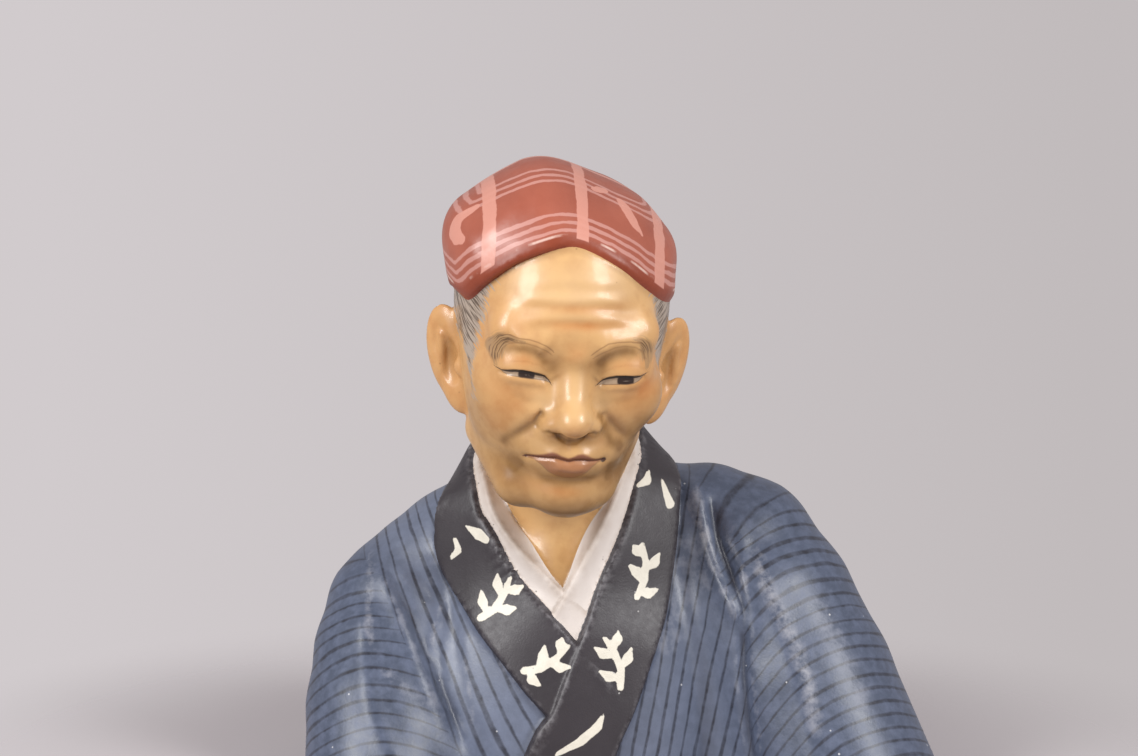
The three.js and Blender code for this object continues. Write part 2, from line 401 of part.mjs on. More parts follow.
// a net of squares over the form
function layNet(field, lo, hi, h) {
  const B = 4;
  const n = [0, 1, 2].map(i => B * Math.ceil((hi[i] - lo[i]) / (B * h)));
  const N = n.map(v => v + 1), sy = N[0], sz = N[0] * N[1];
  const val = new Float32Array(N[0] * N[1] * N[2]);
  const near = [], done = new Uint8Array(val.length), rest = [];
  for (let k = 0; k < n[2]; k += B) for (let j = 0; j < n[1]; j += B) for (let i = 0; i < n[0]; i += B) {
    const d = field(lo[0] + (i + B / 2) * h, lo[1] + (j + B / 2) * h, lo[2] + (k + B / 2) * h);
    if (Math.abs(d) < B * h * 0.87 * 1.25 + 0.6) { near.push([i, j, k]); continue; }
    rest.push([i, j, k, d]);
    for (let c = 0; c <= B; c++) for (let b = 0; b <= B; b++) for (let a = 0; a <= B; a++) {
      val[i + a + (j + b) * sy + (k + c) * sz] = d;
    }
  }
  const measure = ([i, j, k]) => {
    for (let c = 0; c <= B; c++) for (let b = 0; b <= B; b++) for (let a = 0; a <= B; a++) {
      const at = i + a + (j + b) * sy + (k + c) * sz;
      if (done[at]) continue;
      done[at] = 1;
      val[at] = field(lo[0] + (i + a) * h, lo[1] + (j + b) * h, lo[2] + (k + c) * h) || 1e-6;
    }
  };
  near.forEach(measure);
  // a far block that the surface turns out to enter is measured too
  for (let more = 1; more;) {
    more = 0;
    for (let r = rest.length - 1; r >= 0; r--) {
      const [i, j, k, d] = rest[r];
      let crossed = false;
      for (let c = 0; c <= B && !crossed; c++) for (let b = 0; b <= B && !crossed; b++) for (let a = 0; a <= B; a++) {
        if ((val[i + a + (j + b) * sy + (k + c) * sz] < 0) !== (d < 0)) { crossed = true; break; }
      }
      if (crossed) { measure(rest[r]); near.push(rest[r].slice(0, 3)); rest.splice(r, 1); more = 1; }
    }
  }
  // no two sheets of the surface may share one crossing: open the pinched corners
  const eight = [0, 1, sy, sy + 1, sz, sz + 1, sz + sy, sz + sy + 1];
  const crossing = () => {
    const cells = [];
    for (const [i, j, k] of near) for (let c = 0; c < B; c++) for (let b = 0; b < B; b++) for (let a = 0; a < B; a++) {
      const o = i + a + (j + b) * sy + (k + c) * sz;
      let inside = 0;
      for (let e = 0; e < 8; e++) if (val[o + eight[e]] < 0) inside++;
      if (inside > 0 && inside < 8) cells.push(o);
    }
    return cells;
  };
  const fill = points => {
    let e = -1;
    for (const q of points) if (val[q] >= 0 && (e < 0 || val[q] < val[e])) e = q;
    val[e] = -1e-3;
  };
  // a pocket with no way out is solid clay
  const fillPockets = () => {
    const open = new Uint8Array(val.length), stack = [0];
    open[0] = 1;
    while (stack.length) {
      const q = stack.pop(), k = Math.floor(q / sz), j = Math.floor((q - k * sz) / sy), i = q - k * sz - j * sy;
      if (i > 0 && !open[q - 1] && val[q - 1] >= 0) { open[q - 1] = 1; stack.push(q - 1); }
      if (i < n[0] && !open[q + 1] && val[q + 1] >= 0) { open[q + 1] = 1; stack.push(q + 1); }
      if (j > 0 && !open[q - sy] && val[q - sy] >= 0) { open[q - sy] = 1; stack.push(q - sy); }
      if (j < n[1] && !open[q + sy] && val[q + sy] >= 0) { open[q + sy] = 1; stack.push(q + sy); }
      if (k > 0 && !open[q - sz] && val[q - sz] >= 0) { open[q - sz] = 1; stack.push(q - sz); }
      if (k < n[2] && !open[q + sz] && val[q + sz] >= 0) { open[q + sz] = 1; stack.push(q + sz); }
    }
    let filled = 0;
    for (let q = 0; q < val.length; q++) if (!open[q] && val[q] >= 0) { val[q] = -1e-3; filled++; }
    return filled;
  };
  let cells = crossing();
  for (let changed = 1; changed;) {
    changed = 0;
    for (const o of cells) {
      for (const [u, v, w] of [[1, sy, sz], [sy, sz, 1], [sz, 1, sy]]) for (const q of [o, o + w]) {
        const s = val[q] < 0;
        if (s === val[q + u + v] < 0 && s !== val[q + u] < 0 && s !== val[q + v] < 0) { fill([q, q + u, q + v, q + u + v]); changed++; }
      }
      let inside = 0;
      for (let e = 0; e < 8; e++) if (val[o + eight[e]] < 0) inside++;
      if (inside === 2 || inside === 6) for (let e = 0; e < 4; e++) {
        const s = val[o + eight[e]] < 0;
        if (s === val[o + eight[7 - e]] < 0 && s === (inside === 2)) { fill(eight.map(q => o + q)); changed++; break; }
      }
    }
    if (!changed) changed = fillPockets();
    if (changed) cells = crossing();
  }
  const id = new Int32Array(val.length).fill(-1), pos = [], tri = [];
  const corners = [[0, 0, 0], [1, 0, 0], [0, 1, 0], [1, 1, 0], [0, 0, 1], [1, 0, 1], [0, 1, 1], [1, 1, 1]];
  const edges = [[0, 1], [2, 3], [4, 5], [6, 7], [0, 2], [1, 3], [4, 6], [5, 7], [0, 4], [1, 5], [2, 6], [3, 7]];
  for (const o of cells) {
    const v = corners.map(([p, q, r]) => val[o + p + q * sy + r * sz]);
    let sum = [0, 0, 0], count = 0;
    for (const [p, q] of edges) {
      if (v[p] < 0 === v[q] < 0) continue;
      const t = v[p] / (v[p] - v[q]);
      sum = sum.map((s, m) => s + corners[p][m] + (corners[q][m] - corners[p][m]) * t);
      count++;
    }
    id[o] = pos.length / 3;
    const k = Math.floor(o / sz), j = Math.floor((o - k * sz) / sy), i = o - k * sz - j * sy;
    pos.push(lo[0] + (i + sum[0] / count) * h, lo[1] + (j + sum[1] / count) * h, lo[2] + (k + sum[2] / count) * h);
  }
  for (let o = 0; o < id.length; o++) {
    if (id[o] < 0) continue;
    for (const [e, u, v] of [[1, sy, sz], [sy, sz, 1], [sz, 1, sy]]) {
      if (val[o] < 0 === val[o + e] < 0) continue;
      const q = [id[o], id[o - u], id[o - u - v], id[o - v]];
      if (val[o] >= 0) q.reverse();
      const far = (m, n2) => hyp(pos[3 * m] - pos[3 * n2], pos[3 * m + 1] - pos[3 * n2 + 1], pos[3 * m + 2] - pos[3 * n2 + 2]);
      if (far(q[0], q[2]) <= far(q[1], q[3])) tri.push(q[0], q[1], q[2], q[0], q[2], q[3]);
      else tri.push(q[0], q[1], q[3], q[1], q[2], q[3]);
    }
  }
  return { pos: Float64Array.from(pos), tri: Int32Array.from(tri) };
}

// draw the net tight on to the surface
function tighten(field, pos, passes, cap) {
  const e = 0.04;
  for (let p = 0; p < passes; p++) for (let i = 0; i < pos.length; i += 3) {
    const x = pos[i], y = pos[i + 1], z = pos[i + 2], d = field(x, y, z);
    const gx = (field(x + e, y, z) - d) / e, gy = (field(x, y + e, z) - d) / e, gz = (field(x, y, z + e) - d) / e;
    const g2 = Math.max(gx * gx + gy * gy + gz * gz, 0.1);
    let s = d / g2;
    const move = Math.abs(s) * Math.sqrt(g2);
    if (move > cap) s *= cap / move;
    pos[i] -= s * gx; pos[i + 1] -= s * gy; pos[i + 2] -= s * gz;
  }
}

// thin the net where it is flat, joining the pair of points that changes the form least
function thin({ pos, tri }, target, care) {
  const count = pos.length / 3, Q = new Float64Array(count * 10);
  const faces = Array.from({ length: count }, () => []), alive = new Uint8Array(tri.length / 3).fill(1);
  const stamp = new Int32Array(count), dead = new Uint8Array(count);
  const P = i => [pos[3 * i], pos[3 * i + 1], pos[3 * i + 2]];
  for (let t = 0; t < alive.length; t++) {
    const [a, b, c] = [tri[3 * t], tri[3 * t + 1], tri[3 * t + 2]];
    const A = P(a), n = cross(minus(P(b), A), minus(P(c), A)), l = hyp(...n) || 1e-12;
    const u = [n[0] / l, n[1] / l, n[2] / l], d = -(u[0] * A[0] + u[1] * A[1] + u[2] * A[2]), w = l * care(...A);
    const q = [u[0] * u[0], u[0] * u[1], u[0] * u[2], u[0] * d, u[1] * u[1], u[1] * u[2], u[1] * d, u[2] * u[2], u[2] * d, d * d];
    for (const v of [a, b, c]) { faces[v].push(t); for (let k = 0; k < 10; k++) Q[10 * v + k] += q[k] * w; }
  }
  const heap = [];
  const push = item => {
    let i = heap.length; heap.push(item);
    while (i) { const p = (i - 1) >> 1; if (heap[p].cost <= item.cost) break; heap[i] = heap[p]; i = p; }
    heap[i] = item;
  };
  const pop = () => {
    const top = heap[0], last = heap.pop();
    if (heap.length) {
      let i = 0;
      for (;;) {
        let c = 2 * i + 1; if (c >= heap.length) break;
        if (c + 1 < heap.length && heap[c + 1].cost < heap[c].cost) c++;
        if (heap[c].cost >= last.cost) break;
        heap[i] = heap[c]; i = c;
      }
      heap[i] = last;
    }
    return top;
  };
  const cost = (q, [x, y, z]) => q[0] * x * x + 2 * q[1] * x * y + 2 * q[2] * x * z + 2 * q[3] * x + q[4] * y * y
    + 2 * q[5] * y * z + 2 * q[6] * y + q[7] * z * z + 2 * q[8] * z + q[9];
  const offer = (a, b) => {
    const q = new Array(10);
    for (let k = 0; k < 10; k++) q[k] = Q[10 * a + k] + Q[10 * b + k];
    const A = P(a), Bp = P(b), mid = A.map((v, k) => (v + Bp[k]) / 2);
    const long = hyp(...minus(A, Bp));
    const c00 = q[4] * q[7] - q[5] * q[5], c01 = q[2] * q[5] - q[1] * q[7], c02 = q[1] * q[5] - q[2] * q[4];
    const det = q[0] * c00 + q[1] * c01 + q[2] * c02;
    const choices = [mid, A, Bp];
    const trace = q[0] + q[4] + q[7];
    if (Math.abs(det) > 1e-5 * trace ** 3) {
      const c11 = q[0] * q[7] - q[2] * q[2], c12 = q[1] * q[2] - q[0] * q[5], c22 = q[0] * q[4] - q[1] * q[1];
      const x = -(c00 * q[3] + c01 * q[6] + c02 * q[8]) / det;
      const y = -(c01 * q[3] + c11 * q[6] + c12 * q[8]) / det;
      const z = -(c02 * q[3] + c12 * q[6] + c22 * q[8]) / det;
      if (hyp(x - mid[0], y - mid[1], z - mid[2]) < 1.5 * long) choices.push([x, y, z]);
    }
    let best = null, least = Infinity;
    for (const p of choices) { const c = cost(q, p); if (c < least) { least = c; best = p; } }
    push({ cost: least + 1e-4 * long * long, a, b, sa: stamp[a], sb: stamp[b], p: best });
  };
  const ring = v => {
    const s = new Set();
    for (const t of faces[v]) for (let k = 0; k < 3; k++) if (tri[3 * t + k] !== v) s.add(tri[3 * t + k]);
    return s;
  };
  for (let a = 0; a < count; a++) for (const b of ring(a)) if (a < b) offer(a, b);
  let left = alive.length;
  while (left > target && heap.length) {
    const { a, b, sa, sb, p } = pop();
    if (dead[a] || dead[b] || stamp[a] !== sa || stamp[b] !== sb) continue;
    const ra = ring(a), rb = ring(b);
    let shared = 0;
    for (const v of ra) if (rb.has(v)) shared++;
    if (shared !== 2 || ra.size + rb.size < 9) continue;
    let ok = true;
    for (const v of [a, b]) {
      for (const t of faces[v]) {
        const c = [tri[3 * t], tri[3 * t + 1], tri[3 * t + 2]];
        if (c.includes(a) && c.includes(b)) continue;
        const o = c.map(P), m = c.map((q, k) => q === v ? p : o[k]);
        const n0 = cross(minus(o[1], o[0]), minus(o[2], o[0])), n1 = cross(minus(m[1], m[0]), minus(m[2], m[0]));
        const l0 = hyp(...n0), l1 = hyp(...n1);
        if (n0[0] * n1[0] + n0[1] * n1[1] + n0[2] * n1[2] < 0.35 * l0 * l1 || l1 < 1e-3) { ok = false; break; }
        const side = Math.max(hyp(...minus(m[1], m[0])), hyp(...minus(m[2], m[1])), hyp(...minus(m[0], m[2])));
        if (l1 < 0.06 * side * side) { ok = false; break; }
      }
      if (!ok) break;
    }
    if (!ok) continue;
    pos[3 * a] = p[0]; pos[3 * a + 1] = p[1]; pos[3 * a + 2] = p[2];
    for (let k = 0; k < 10; k++) Q[10 * a + k] += Q[10 * b + k];
    const kept = faces[a].filter(t => ![0, 1, 2].some(k => tri[3 * t + k] === b));
    for (const t of faces[b]) {
      if ([0, 1, 2].some(k => tri[3 * t + k] === a)) {
        alive[t] = 0; left--;
        for (let k = 0; k < 3; k++) { const v = tri[3 * t + k]; if (v !== a && v !== b) faces[v] = faces[v].filter(f => f !== t); }
      } else {
        for (let k = 0; k < 3; k++) if (tri[3 * t + k] === b) tri[3 * t + k] = a;
        kept.push(t);
      }
    }
    faces[a] = kept; faces[b] = []; dead[b] = 1; stamp[a]++;
    for (const v of ring(a)) offer(Math.min(a, v), Math.max(a, v));
  }
  const name = new Int32Array(count).fill(-1), outP = [], outT = [];
  for (let t = 0; t < alive.length; t++) if (alive[t]) for (let k = 0; k < 3; k++) {
    const v = tri[3 * t + k];
    if (name[v] < 0) { name[v] = outP.length / 3; outP.push(...P(v)); }
    outT.push(name[v]);
  }
  return { pos: outP, tri: outT };
}

const wasm = await Module();
wasm.setup();
const solid = ({ pos, tri }) => new wasm.Manifold(new wasm.Mesh({
  numProp: 3, vertProperties: Float32Array.from(pos), triVerts: Uint32Array.from(tri) }));

const reachX = 80 * bodyX, reachY = Math.max(48 * bodyY, 48), top = HEAD_AT[2] + 46 * headShare;
const net = layNet(figure, [-reachX, HEAD_AT[1] - 44 * headShare, -5], [reachX + 8, reachY, top], NET);
tighten(figure, net.pos, 2, NET * 0.45);
const nearFace = (x, y, z) => hyp(x - HEAD_AT[0], (y - HEAD_AT[1] + 26) * 0.8, (z - HEAD_AT[2] + 2) * 0.95) < 27 * headShare;
const thinned = thin(net, TRIANGLES, (x, y, z) => nearFace(x, y, z) ? FACE_CARE : 1);

// the flat underside
const boxMesh = { pos: [], tri: [] };
for (let i = 0; i < 8; i++) boxMesh.pos.push(i & 1 ? 200 : -200, i & 2 ? 200 : -200, i & 4 ? 400 : 0);
boxMesh.tri.push(0, 2, 1, 1, 2, 3, 4, 5, 6, 5, 7, 6, 0, 1, 4, 1, 5, 4, 2, 6, 3, 3, 6, 7, 0, 4, 2, 2, 4, 6, 1, 3, 5, 3, 7, 5);
const bust = solid(thinned).intersect(solid(boxMesh)).getMesh();

const geometry = new THREE.BufferGeometry();
const points = new Float32Array(bust.vertProperties.length / bust.numProp * 3);
for (let i = 0; i < points.length / 3; i++) for (let k = 0; k < 3; k++) points[3 * i + k] = bust.vertProperties[i * bust.numProp + k];
geometry.setAttribute('position', new THREE.BufferAttribute(points, 3));
geometry.setIndex(new THREE.BufferAttribute(Uint32Array.from(bust.triVerts), 1));
geometry.computeVertexNormals();
const doll = new THREE.Mesh(geometry, new THREE.MeshStandardMaterial({ color: 0xb98f6c, roughness: 0.5 }));
doll.name = 'doll_bust';
const group = new THREE.Group();
group.name = 'hakata_doll';
group.add(doll);
export default group;
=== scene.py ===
# A painted clay doll's bust: an old tradesman in a check headcloth, a crossed collar and a striped
# jacket. It is one moulded piece, so its forms are worked out part by part, cast together, and painted.
# A form gives each point's distance from its surface, less than nothing inside. Sizes are millimetres;
# Blender's metres come in where the cast is made, and in the last section.
import math
import bmesh
import bpy
import numpy as np
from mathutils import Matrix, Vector


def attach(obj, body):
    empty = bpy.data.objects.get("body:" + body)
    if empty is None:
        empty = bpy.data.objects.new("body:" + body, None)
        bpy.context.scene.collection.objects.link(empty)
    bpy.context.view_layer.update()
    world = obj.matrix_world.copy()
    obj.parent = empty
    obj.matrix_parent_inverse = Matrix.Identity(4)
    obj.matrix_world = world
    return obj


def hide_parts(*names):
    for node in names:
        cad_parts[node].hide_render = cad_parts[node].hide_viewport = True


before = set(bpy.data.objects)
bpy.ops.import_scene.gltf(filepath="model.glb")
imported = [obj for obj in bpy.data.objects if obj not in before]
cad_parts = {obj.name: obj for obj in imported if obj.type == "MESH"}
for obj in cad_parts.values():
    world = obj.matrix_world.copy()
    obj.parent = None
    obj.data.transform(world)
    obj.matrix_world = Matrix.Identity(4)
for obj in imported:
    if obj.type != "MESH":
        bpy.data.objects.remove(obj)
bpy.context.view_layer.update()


# The head and neck
# Moulded clay, pressed in a mould and hand finished: an old man's smooth, heavy-lidded, bowed head.
# The skin is glue-bound white pigment, airbrushed with orange and olive and burnished to a soft gloss.
HEAD_AT = np.array([-1.2, -18.0, 94.0])   # the head's middle, between the ears
BOW, TURN, LEAN = (math.radians(a) for a in (13, 5.5, 2.7))
MIDLINE = 1.0                             # the features sit this far to +X of the head's middle
EAR_OUT, EAR_T = math.radians(52), 1.9    # how far the ears stand out, and half their thickness
EAR_DROP = 1.0                            # the +X ear sits this much lower
EAR_AT = (20.3, 2.0, -1.6)                # an ear's root
# wrinkles: height, half length, width, depth
FOREHEAD = [(21.2, 9, 1.3, 0.18), (17.9, 11, 1.3, 0.26), (14.6, 10, 1.2, 0.24)]
# lines drawn or pressed on the face, seen from the front: across and up from the head's middle
MOUTH = [(-7.9, -14.3), (-6.5, -13.8), (-5.1, -13.6), (-3.6, -13.3), (-2.1, -13.0), (-0.4, -13.3),
         (0.6, -13.5), (1.6, -13.2), (3.4, -13.2), (4.9, -13.5), (6.3, -13.7), (7.9, -13.9)]
UPPER_LIP = [(-5.0, -12.8), (-1.5, -11.9), (0.9, -12.5), (3.3, -12.1), (6.6, -13.2)]
LOWER_LIP = [(-3.6, -14.3), (-1.2, -15.1), (1.4, -15.5), (4.0, -15.2), (6.0, -14.8)]
CHEEK_FOLD = [(6.4, -4.4), (8.2, -7.0), (10.2, -9.6), (11.4, -12.6)]
CHEEK_PAD = [(8.6, -4.0), (11.2, -6.8), (13.0, -10.0)]
LID_L = [(-14.8, 4.1), (-13.8, 3.9), (-12.6, 4.1), (-11.2, 4.4), (-9.7, 4.5), (-8.2, 4.3), (-6.6, 3.9),
         (-5.3, 3.5), (-4.5, 2.8), (-4.0, 2.2)]
LID_R = [(5.6, 2.1), (6.7, 3.0), (7.9, 3.5), (9.4, 3.9), (10.9, 4.0), (12.7, 3.9), (14.3, 3.9),
         (15.5, 4.3)]
LOW_L = [(-13.9, 3.8), (-13.4, 3.4), (-12.3, 3.2), (-10.8, 3.2), (-9.1, 3.1), (-7.3, 2.9), (-5.5, 2.6),
         (-4.0, 2.2)]
LOW_R = [(5.6, 2.1), (7.1, 2.0), (8.8, 2.15), (10.3, 2.3), (11.8, 2.3), (13.1, 2.5), (14.2, 2.95),
         (14.8, 3.7)]
WINGS = [[(-4.9, -3.4), (-6.1, -5.0), (-6.3, -6.8), (-5.4, -7.9)],
         [(5.5, -3.1), (6.8, -4.6), (6.9, -6.3), (6.2, -7.8)]]
NOSE_BASE = [(-5.3, -6.9), (-4.8, -7.7), (-4.0, -6.9), (-2.9, -7.3), (-1.5, -9.0), (0.2, -9.8),
             (1.8, -9.7), (3.2, -8.8), (4.1, -7.0), (5.0, -6.5), (5.8, -6.9), (5.6, -8.0)]
BAG = [(5.5, -0.8), (9, -2.1), (13.5, -1.2)]
BROW_L = [(-15.1, 4.7), (-15.4, 5.8), (-15.4, 7.2), (-15.0, 8.7), (-14.2, 10.2), (-13.0, 10.8),
          (-11.6, 10.6), (-9.8, 10.6)]
BROW_R = [(12.6, 11.6), (14.1, 11.2), (15.0, 10.2), (15.6, 8.7), (15.8, 7.0), (15.7, 5.6)]
BROW_LINES = [[(-12.5, 11.5), (-10.7, 11.2), (-8.8, 11.3), (-7.1, 11.0), (-5.4, 10.4), (-4.0, 9.3)],
              [(-12.5, 9.7), (-11.0, 10.3), (-9.2, 10.4), (-7.4, 10.1), (-5.7, 9.5), (-4.4, 8.6)],
              [(4.0, 8.8), (5.5, 10.2), (7.1, 11.2), (9.2, 11.4), (11.7, 11.3), (13.7, 10.9)],
              [(4.5, 8.1), (6.3, 9.4), (8.4, 10.3), (10.5, 10.5), (12.8, 10.1), (14.3, 9.1), (15.2, 7.4)]]


def length(v):
    """Length of each vector."""
    return np.sqrt((v * v).sum(-1))


def ease(a, b, x):
    """0 before a, 1 after b, smooth between them."""
    t = np.clip((x - a) / (b - a), 0, 1)
    return t * t * (3 - 2 * t)


def bell(x):
    """1 at nothing, fading out on both sides."""
    return np.exp(-x * x)


def egg(p, centre, radii):
    """An egg with its own radius along each axis."""
    off = p - np.array(centre, float)
    radii = np.array(radii, float)
    share = length(off / radii)
    return share * (share - 1) / np.maximum(length(off / (radii * radii)), 1e-9)


def limb(p, a, b, ra, rb):
    """A round limb that runs from radius ra at a to rb at b."""
    a = np.array(a, float)
    along = np.array(b, float) - a
    q = p - a
    h = np.clip(q @ along / (along @ along), 0, 1)
    return length(q - h[:, None] * along) - (ra + (rb - ra) * h)


def join(a, b, k):
    """Two forms run together with a fillet of about k."""
    h = np.clip(0.5 + 0.5 * (b - a) / k, 0, 1)
    return b + (a - b) * h - k * h * (1 - h)


def carve(form, hole, k):
    """A hole cut in a form, its edge eased by about k."""
    return -join(-form, hole, k)


def curve(points, steps):
    """A smooth curve through points, with so many steps to a span."""
    p = [np.array(v, float) for v in points]
    p = [2 * p[0] - p[1]] + p + [2 * p[-1] - p[-2]]
    made = []
    for a, b, c, d in zip(p, p[1:], p[2:], p[3:]):
        for t in np.arange(steps) / steps:
            bend = 2 * a - 5 * b + 4 * c - d
            made.append(0.5 * (2 * b + (c - a) * t + bend * t * t + (3 * b - a - 3 * c + d) * t ** 3))
    return np.array(made + [p[-2]])


def line(x, z, points):
    """Distance from a drawn line, the share of its length there, and the side, 1 to its left."""
    points = np.array(points, float)
    spans = np.diff(points, axis=0)
    sizes = np.hypot(*spans.T)
    run = np.concatenate([[0], np.cumsum(sizes)])
    best = np.full(len(x), 1e9)
    share = np.zeros(len(x))
    side = np.ones(len(x))
    for (ax, az), (sx, sz), size, start in zip(points, spans, sizes, run):
        h = np.clip(((x - ax) * sx + (z - az) * sz) / size ** 2, 0, 1)
        d = np.hypot(x - ax - h * sx, z - az - h * sz)
        near = d < best
        best = np.where(near, d, best)
        share = np.where(near, (start + h * size) / run[-1], share)
        side = np.where(near, np.where(sx * (z - az) - sz * (x - ax) < 0, -1, 1), side)
    return best, share, side


def stroke(x, z, points, high, wide, fades=(0, 0.2, 0.8, 1)):
    """Height of a mark along a drawn line, fading in and out at these shares of its length."""
    far, share, _ = line(x, z, points)
    return high * bell(far / wide) * ease(fades[0], fades[1], share) * ease(fades[3], fades[2], share)


def head_axes():
    """The head's own directions: across, forward and up."""
    axes = np.array([(1, 0, 0), (0, -1, 0), (0, 0, 1)], float)
    for angle, a, b in ((BOW, 1, 2), (TURN, 0, 1), (LEAN, 2, 0)):
        first, second = axes[:, a].copy(), axes[:, b].copy()
        axes[:, a] = first * math.cos(angle) - second * math.sin(angle)
        axes[:, b] = first * math.sin(angle) + second * math.cos(angle)
    return axes


HEAD_AXES = head_axes()


def in_head(p):
    """Points in the head's own frame: x across, f forward, z up."""
    return (p - HEAD_AT) @ HEAD_AXES.T


def face_relief(x, z):
    """Height of the lines worked on the front of the face."""
    aside = np.abs(x - MIDLINE)
    relief = np.zeros(len(x))
    for height, half, wide, deep in FOREHEAD:
        arc = height - 0.012 * aside ** 2 + 0.25 * np.sin(x * 0.5 + height)
        reach = ease(half + 3, half - 3, aside)
        relief += deep * reach * (0.7 * bell((z - arc - 2) / (wide * 1.1)) - bell((z - arc) / wide))
    # the mouth, the lips, the hollow below them and the mouth's corners
    relief -= stroke(x, z, MOUTH, 0.55, 0.42, (-0.02, 0.05, 0.95, 1.02))
    relief += stroke(x, z, UPPER_LIP, 0.28, 1.0)
    relief += stroke(x, z, LOWER_LIP, 0.8, 1.45, (0, 0.28, 0.72, 1))
    relief -= 0.42 * bell((z + 18.6) / 1.4) * bell(aside / 5)
    for end_x, end_z in (MOUTH[0], MOUTH[-1]):
        relief -= 0.40 * bell(np.hypot(x - end_x, z - end_z) / 1.0)
    # the folds and pads of the cheeks, the creases round the nose, and the groove above the lip
    far, share, _ = line(aside, z, CHEEK_FOLD)
    relief -= 0.50 * bell(far / 1.15) * ease(1, 0.5, share)
    for crease, deep, wide in ((WINGS[0], 0.26, 0.6), (WINGS[1], 0.26, 0.6), (NOSE_BASE, 0.2, 0.45)):
        relief -= stroke(x, z, crease, deep, wide)
    relief += 0.34 * bell(line(aside, z, CHEEK_PAD)[0] / 2.0)
    relief -= 0.18 * bell((x - MIDLINE) / 0.8) * ease(-12, -10.4, z) * ease(-7.6, -9, z)
    # the upper lids with a groove below their edges, the lower lids, the bags and the brows
    for lid, low in ((LID_L, LOW_L), (LID_R, LOW_R)):
        far, share, side = line(x, z, lid)
        over = side * far
        within = ease(0, 0.08, share) * ease(1, 0.92, share)
        relief += 0.34 * ease(-0.1, 0.45, over) * bell(np.maximum(over, 0) / 2.6) * within
        relief -= 0.26 * bell((over + 0.5) / 0.55) * within
        relief += stroke(x, z - 0.9, [(px, pz - 1.8) for px, pz in low], 0.20, 0.8)
    relief -= stroke(aside, z, BAG, 0.16, 1.0, (0, 0.3, 0.7, 1))
    for brow in (BROW_LINES[1], BROW_LINES[3]):
        raised = [(px, pz + 0.5) for px, pz in brow]
        relief += stroke(x, z, raised, 0.62, 2.0, (0, 0.25, 0.75, 1))
    return relief


def face(q):
    """The head without its ears, each half mirrored about the middle of the skull, jaw or features."""
    x, f, z = q.T
    by_skull = np.stack([np.abs(x), f, z], 1)
    by_jaw = np.stack([np.abs(x + 0.7), f, z], 1)
    by_nose = np.stack([np.abs(x - MIDLINE), f, z], 1)
    d = egg(by_skull, (0, -3, 11), (22.6, 29, 26.6))
    d = join(d, egg(by_jaw, (0, 8, -4), (19.3, 18.6, 22)), 6)
    d = join(d, limb(by_jaw, (13.2, 4, -16), (6.8, 16.0, -22.2), 5.2, 6.3), 3)
    d = join(d, egg(by_nose, (0, 19.6, -22.4), (8.0, 7.2, 6.6)), 3)  # chin
    d = join(d, egg(by_nose, (0, 16.2, -13.2), (11.8, 12.6, 8)), 3)  # round the mouth
    d = join(d, egg(by_nose, (10.8, 15.4, -2.5), (8.4, 8.4, 8.4)), 3)  # cheekbones
    d = join(d, limb(by_nose, (4.5, 21.4, 11.2), (13.0, 18.8, 11.4), 3.4, 4.3), 4)  # brow ridges
    d = carve(d, egg(by_nose, (6.4, 30.6, 4.0), (4.4, 5.0, 3.4)), 4)  # eye hollows
    d = join(d, egg(by_nose, (10.0, 18.4, 4.4), (6.9, 6.9, 6.4)), 2.2)  # eyeballs under their lids
    nose = limb(by_nose, (0, 23.4, 6.8), (0, 28.2, -3.2), 1.9, 3.0)
    nose = join(nose, egg(by_nose, (0, 29.5, -4.4), (3.7, 4.1, 3.3)), 2.2)
    nose = join(nose, egg(by_nose, (4.1, 26.6, -5.7), (2.5, 3.4, 2.4)), 1.6)  # its wings
    d = join(d, nose, 2.8)
    d = carve(d, egg(by_nose, (2.4, 29.0, -8.3), (1.5, 1.6, 0.8)), 0.8)  # nostrils
    front = ease(8, 18, f)
    live = np.nonzero((front > 0) & (np.abs(d) < 6))[0]
    if len(live):
        temple = 0.8 * bell(np.hypot(f[live] - 13, z[live] - 10) / 6) * ease(14, 18, by_nose[live, 0])
        d[live] -= (face_relief(x[live], z[live]) - temple) * front[live]
    return d


def ear(q):
    """Either ear, in its own plane: u outward along it, v up, n out of its face."""
    sx, f, z = np.abs(q[:, 0]) - EAR_AT[0], q[:, 1] - EAR_AT[1], q[:, 2] - EAR_AT[2]
    u = sx * math.sin(EAR_OUT) - f * math.cos(EAR_OUT)
    n = sx * math.cos(EAR_OUT) + f * math.sin(EAR_OUT)
    v = z + EAR_DROP * (q[:, 0] > 0)
    rim = np.stack([u - 0.19 * v, v, n], 1)
    d = egg(rim, (3.3, 0.5, 0), (5.8, 10.1, EAR_T))
    d = join(d, egg(rim, (1.7, -8.2, 0.1), (3.0, 3.9, EAR_T * 0.9)), 2)  # lobe
    d = carve(d, egg(rim, (2.6, -0.4, 2.6), (3.1, 5.4, 2.5)), 0.8)  # bowl
    d = carve(d, egg(rim, (4.6, 3.6, 2.2), (2.6, 4.6, 1.3)), 0.8)  # groove inside the rim
    d = join(d, limb(rim, (5.2, -3, 0.7), (4.3, 4.4, 0.8), 0.7, 0.8), 1.0)  # fold beside it
    d = join(d, egg(rim, (-0.2, -1.5, 1.6), (1.3, 1.8, 1.2)), 0.8)  # flap before the bowl
    return join(d, egg(np.stack([u, v, n], 1), (-0.5, -1, -1.6), (3.6, 8.6, 2.2)), 1.6)


def only(p, where, form, far=12.0):
    """A form measured where it can matter, and taken as far off elsewhere."""
    d = np.full(len(p), far)
    if where.any():
        d[where] = form(p[where])
    return d


def near_head(p):
    """Which points are near enough to the head to be measured from it."""
    return length(p - HEAD_AT - (0, 0, 2)) < 52


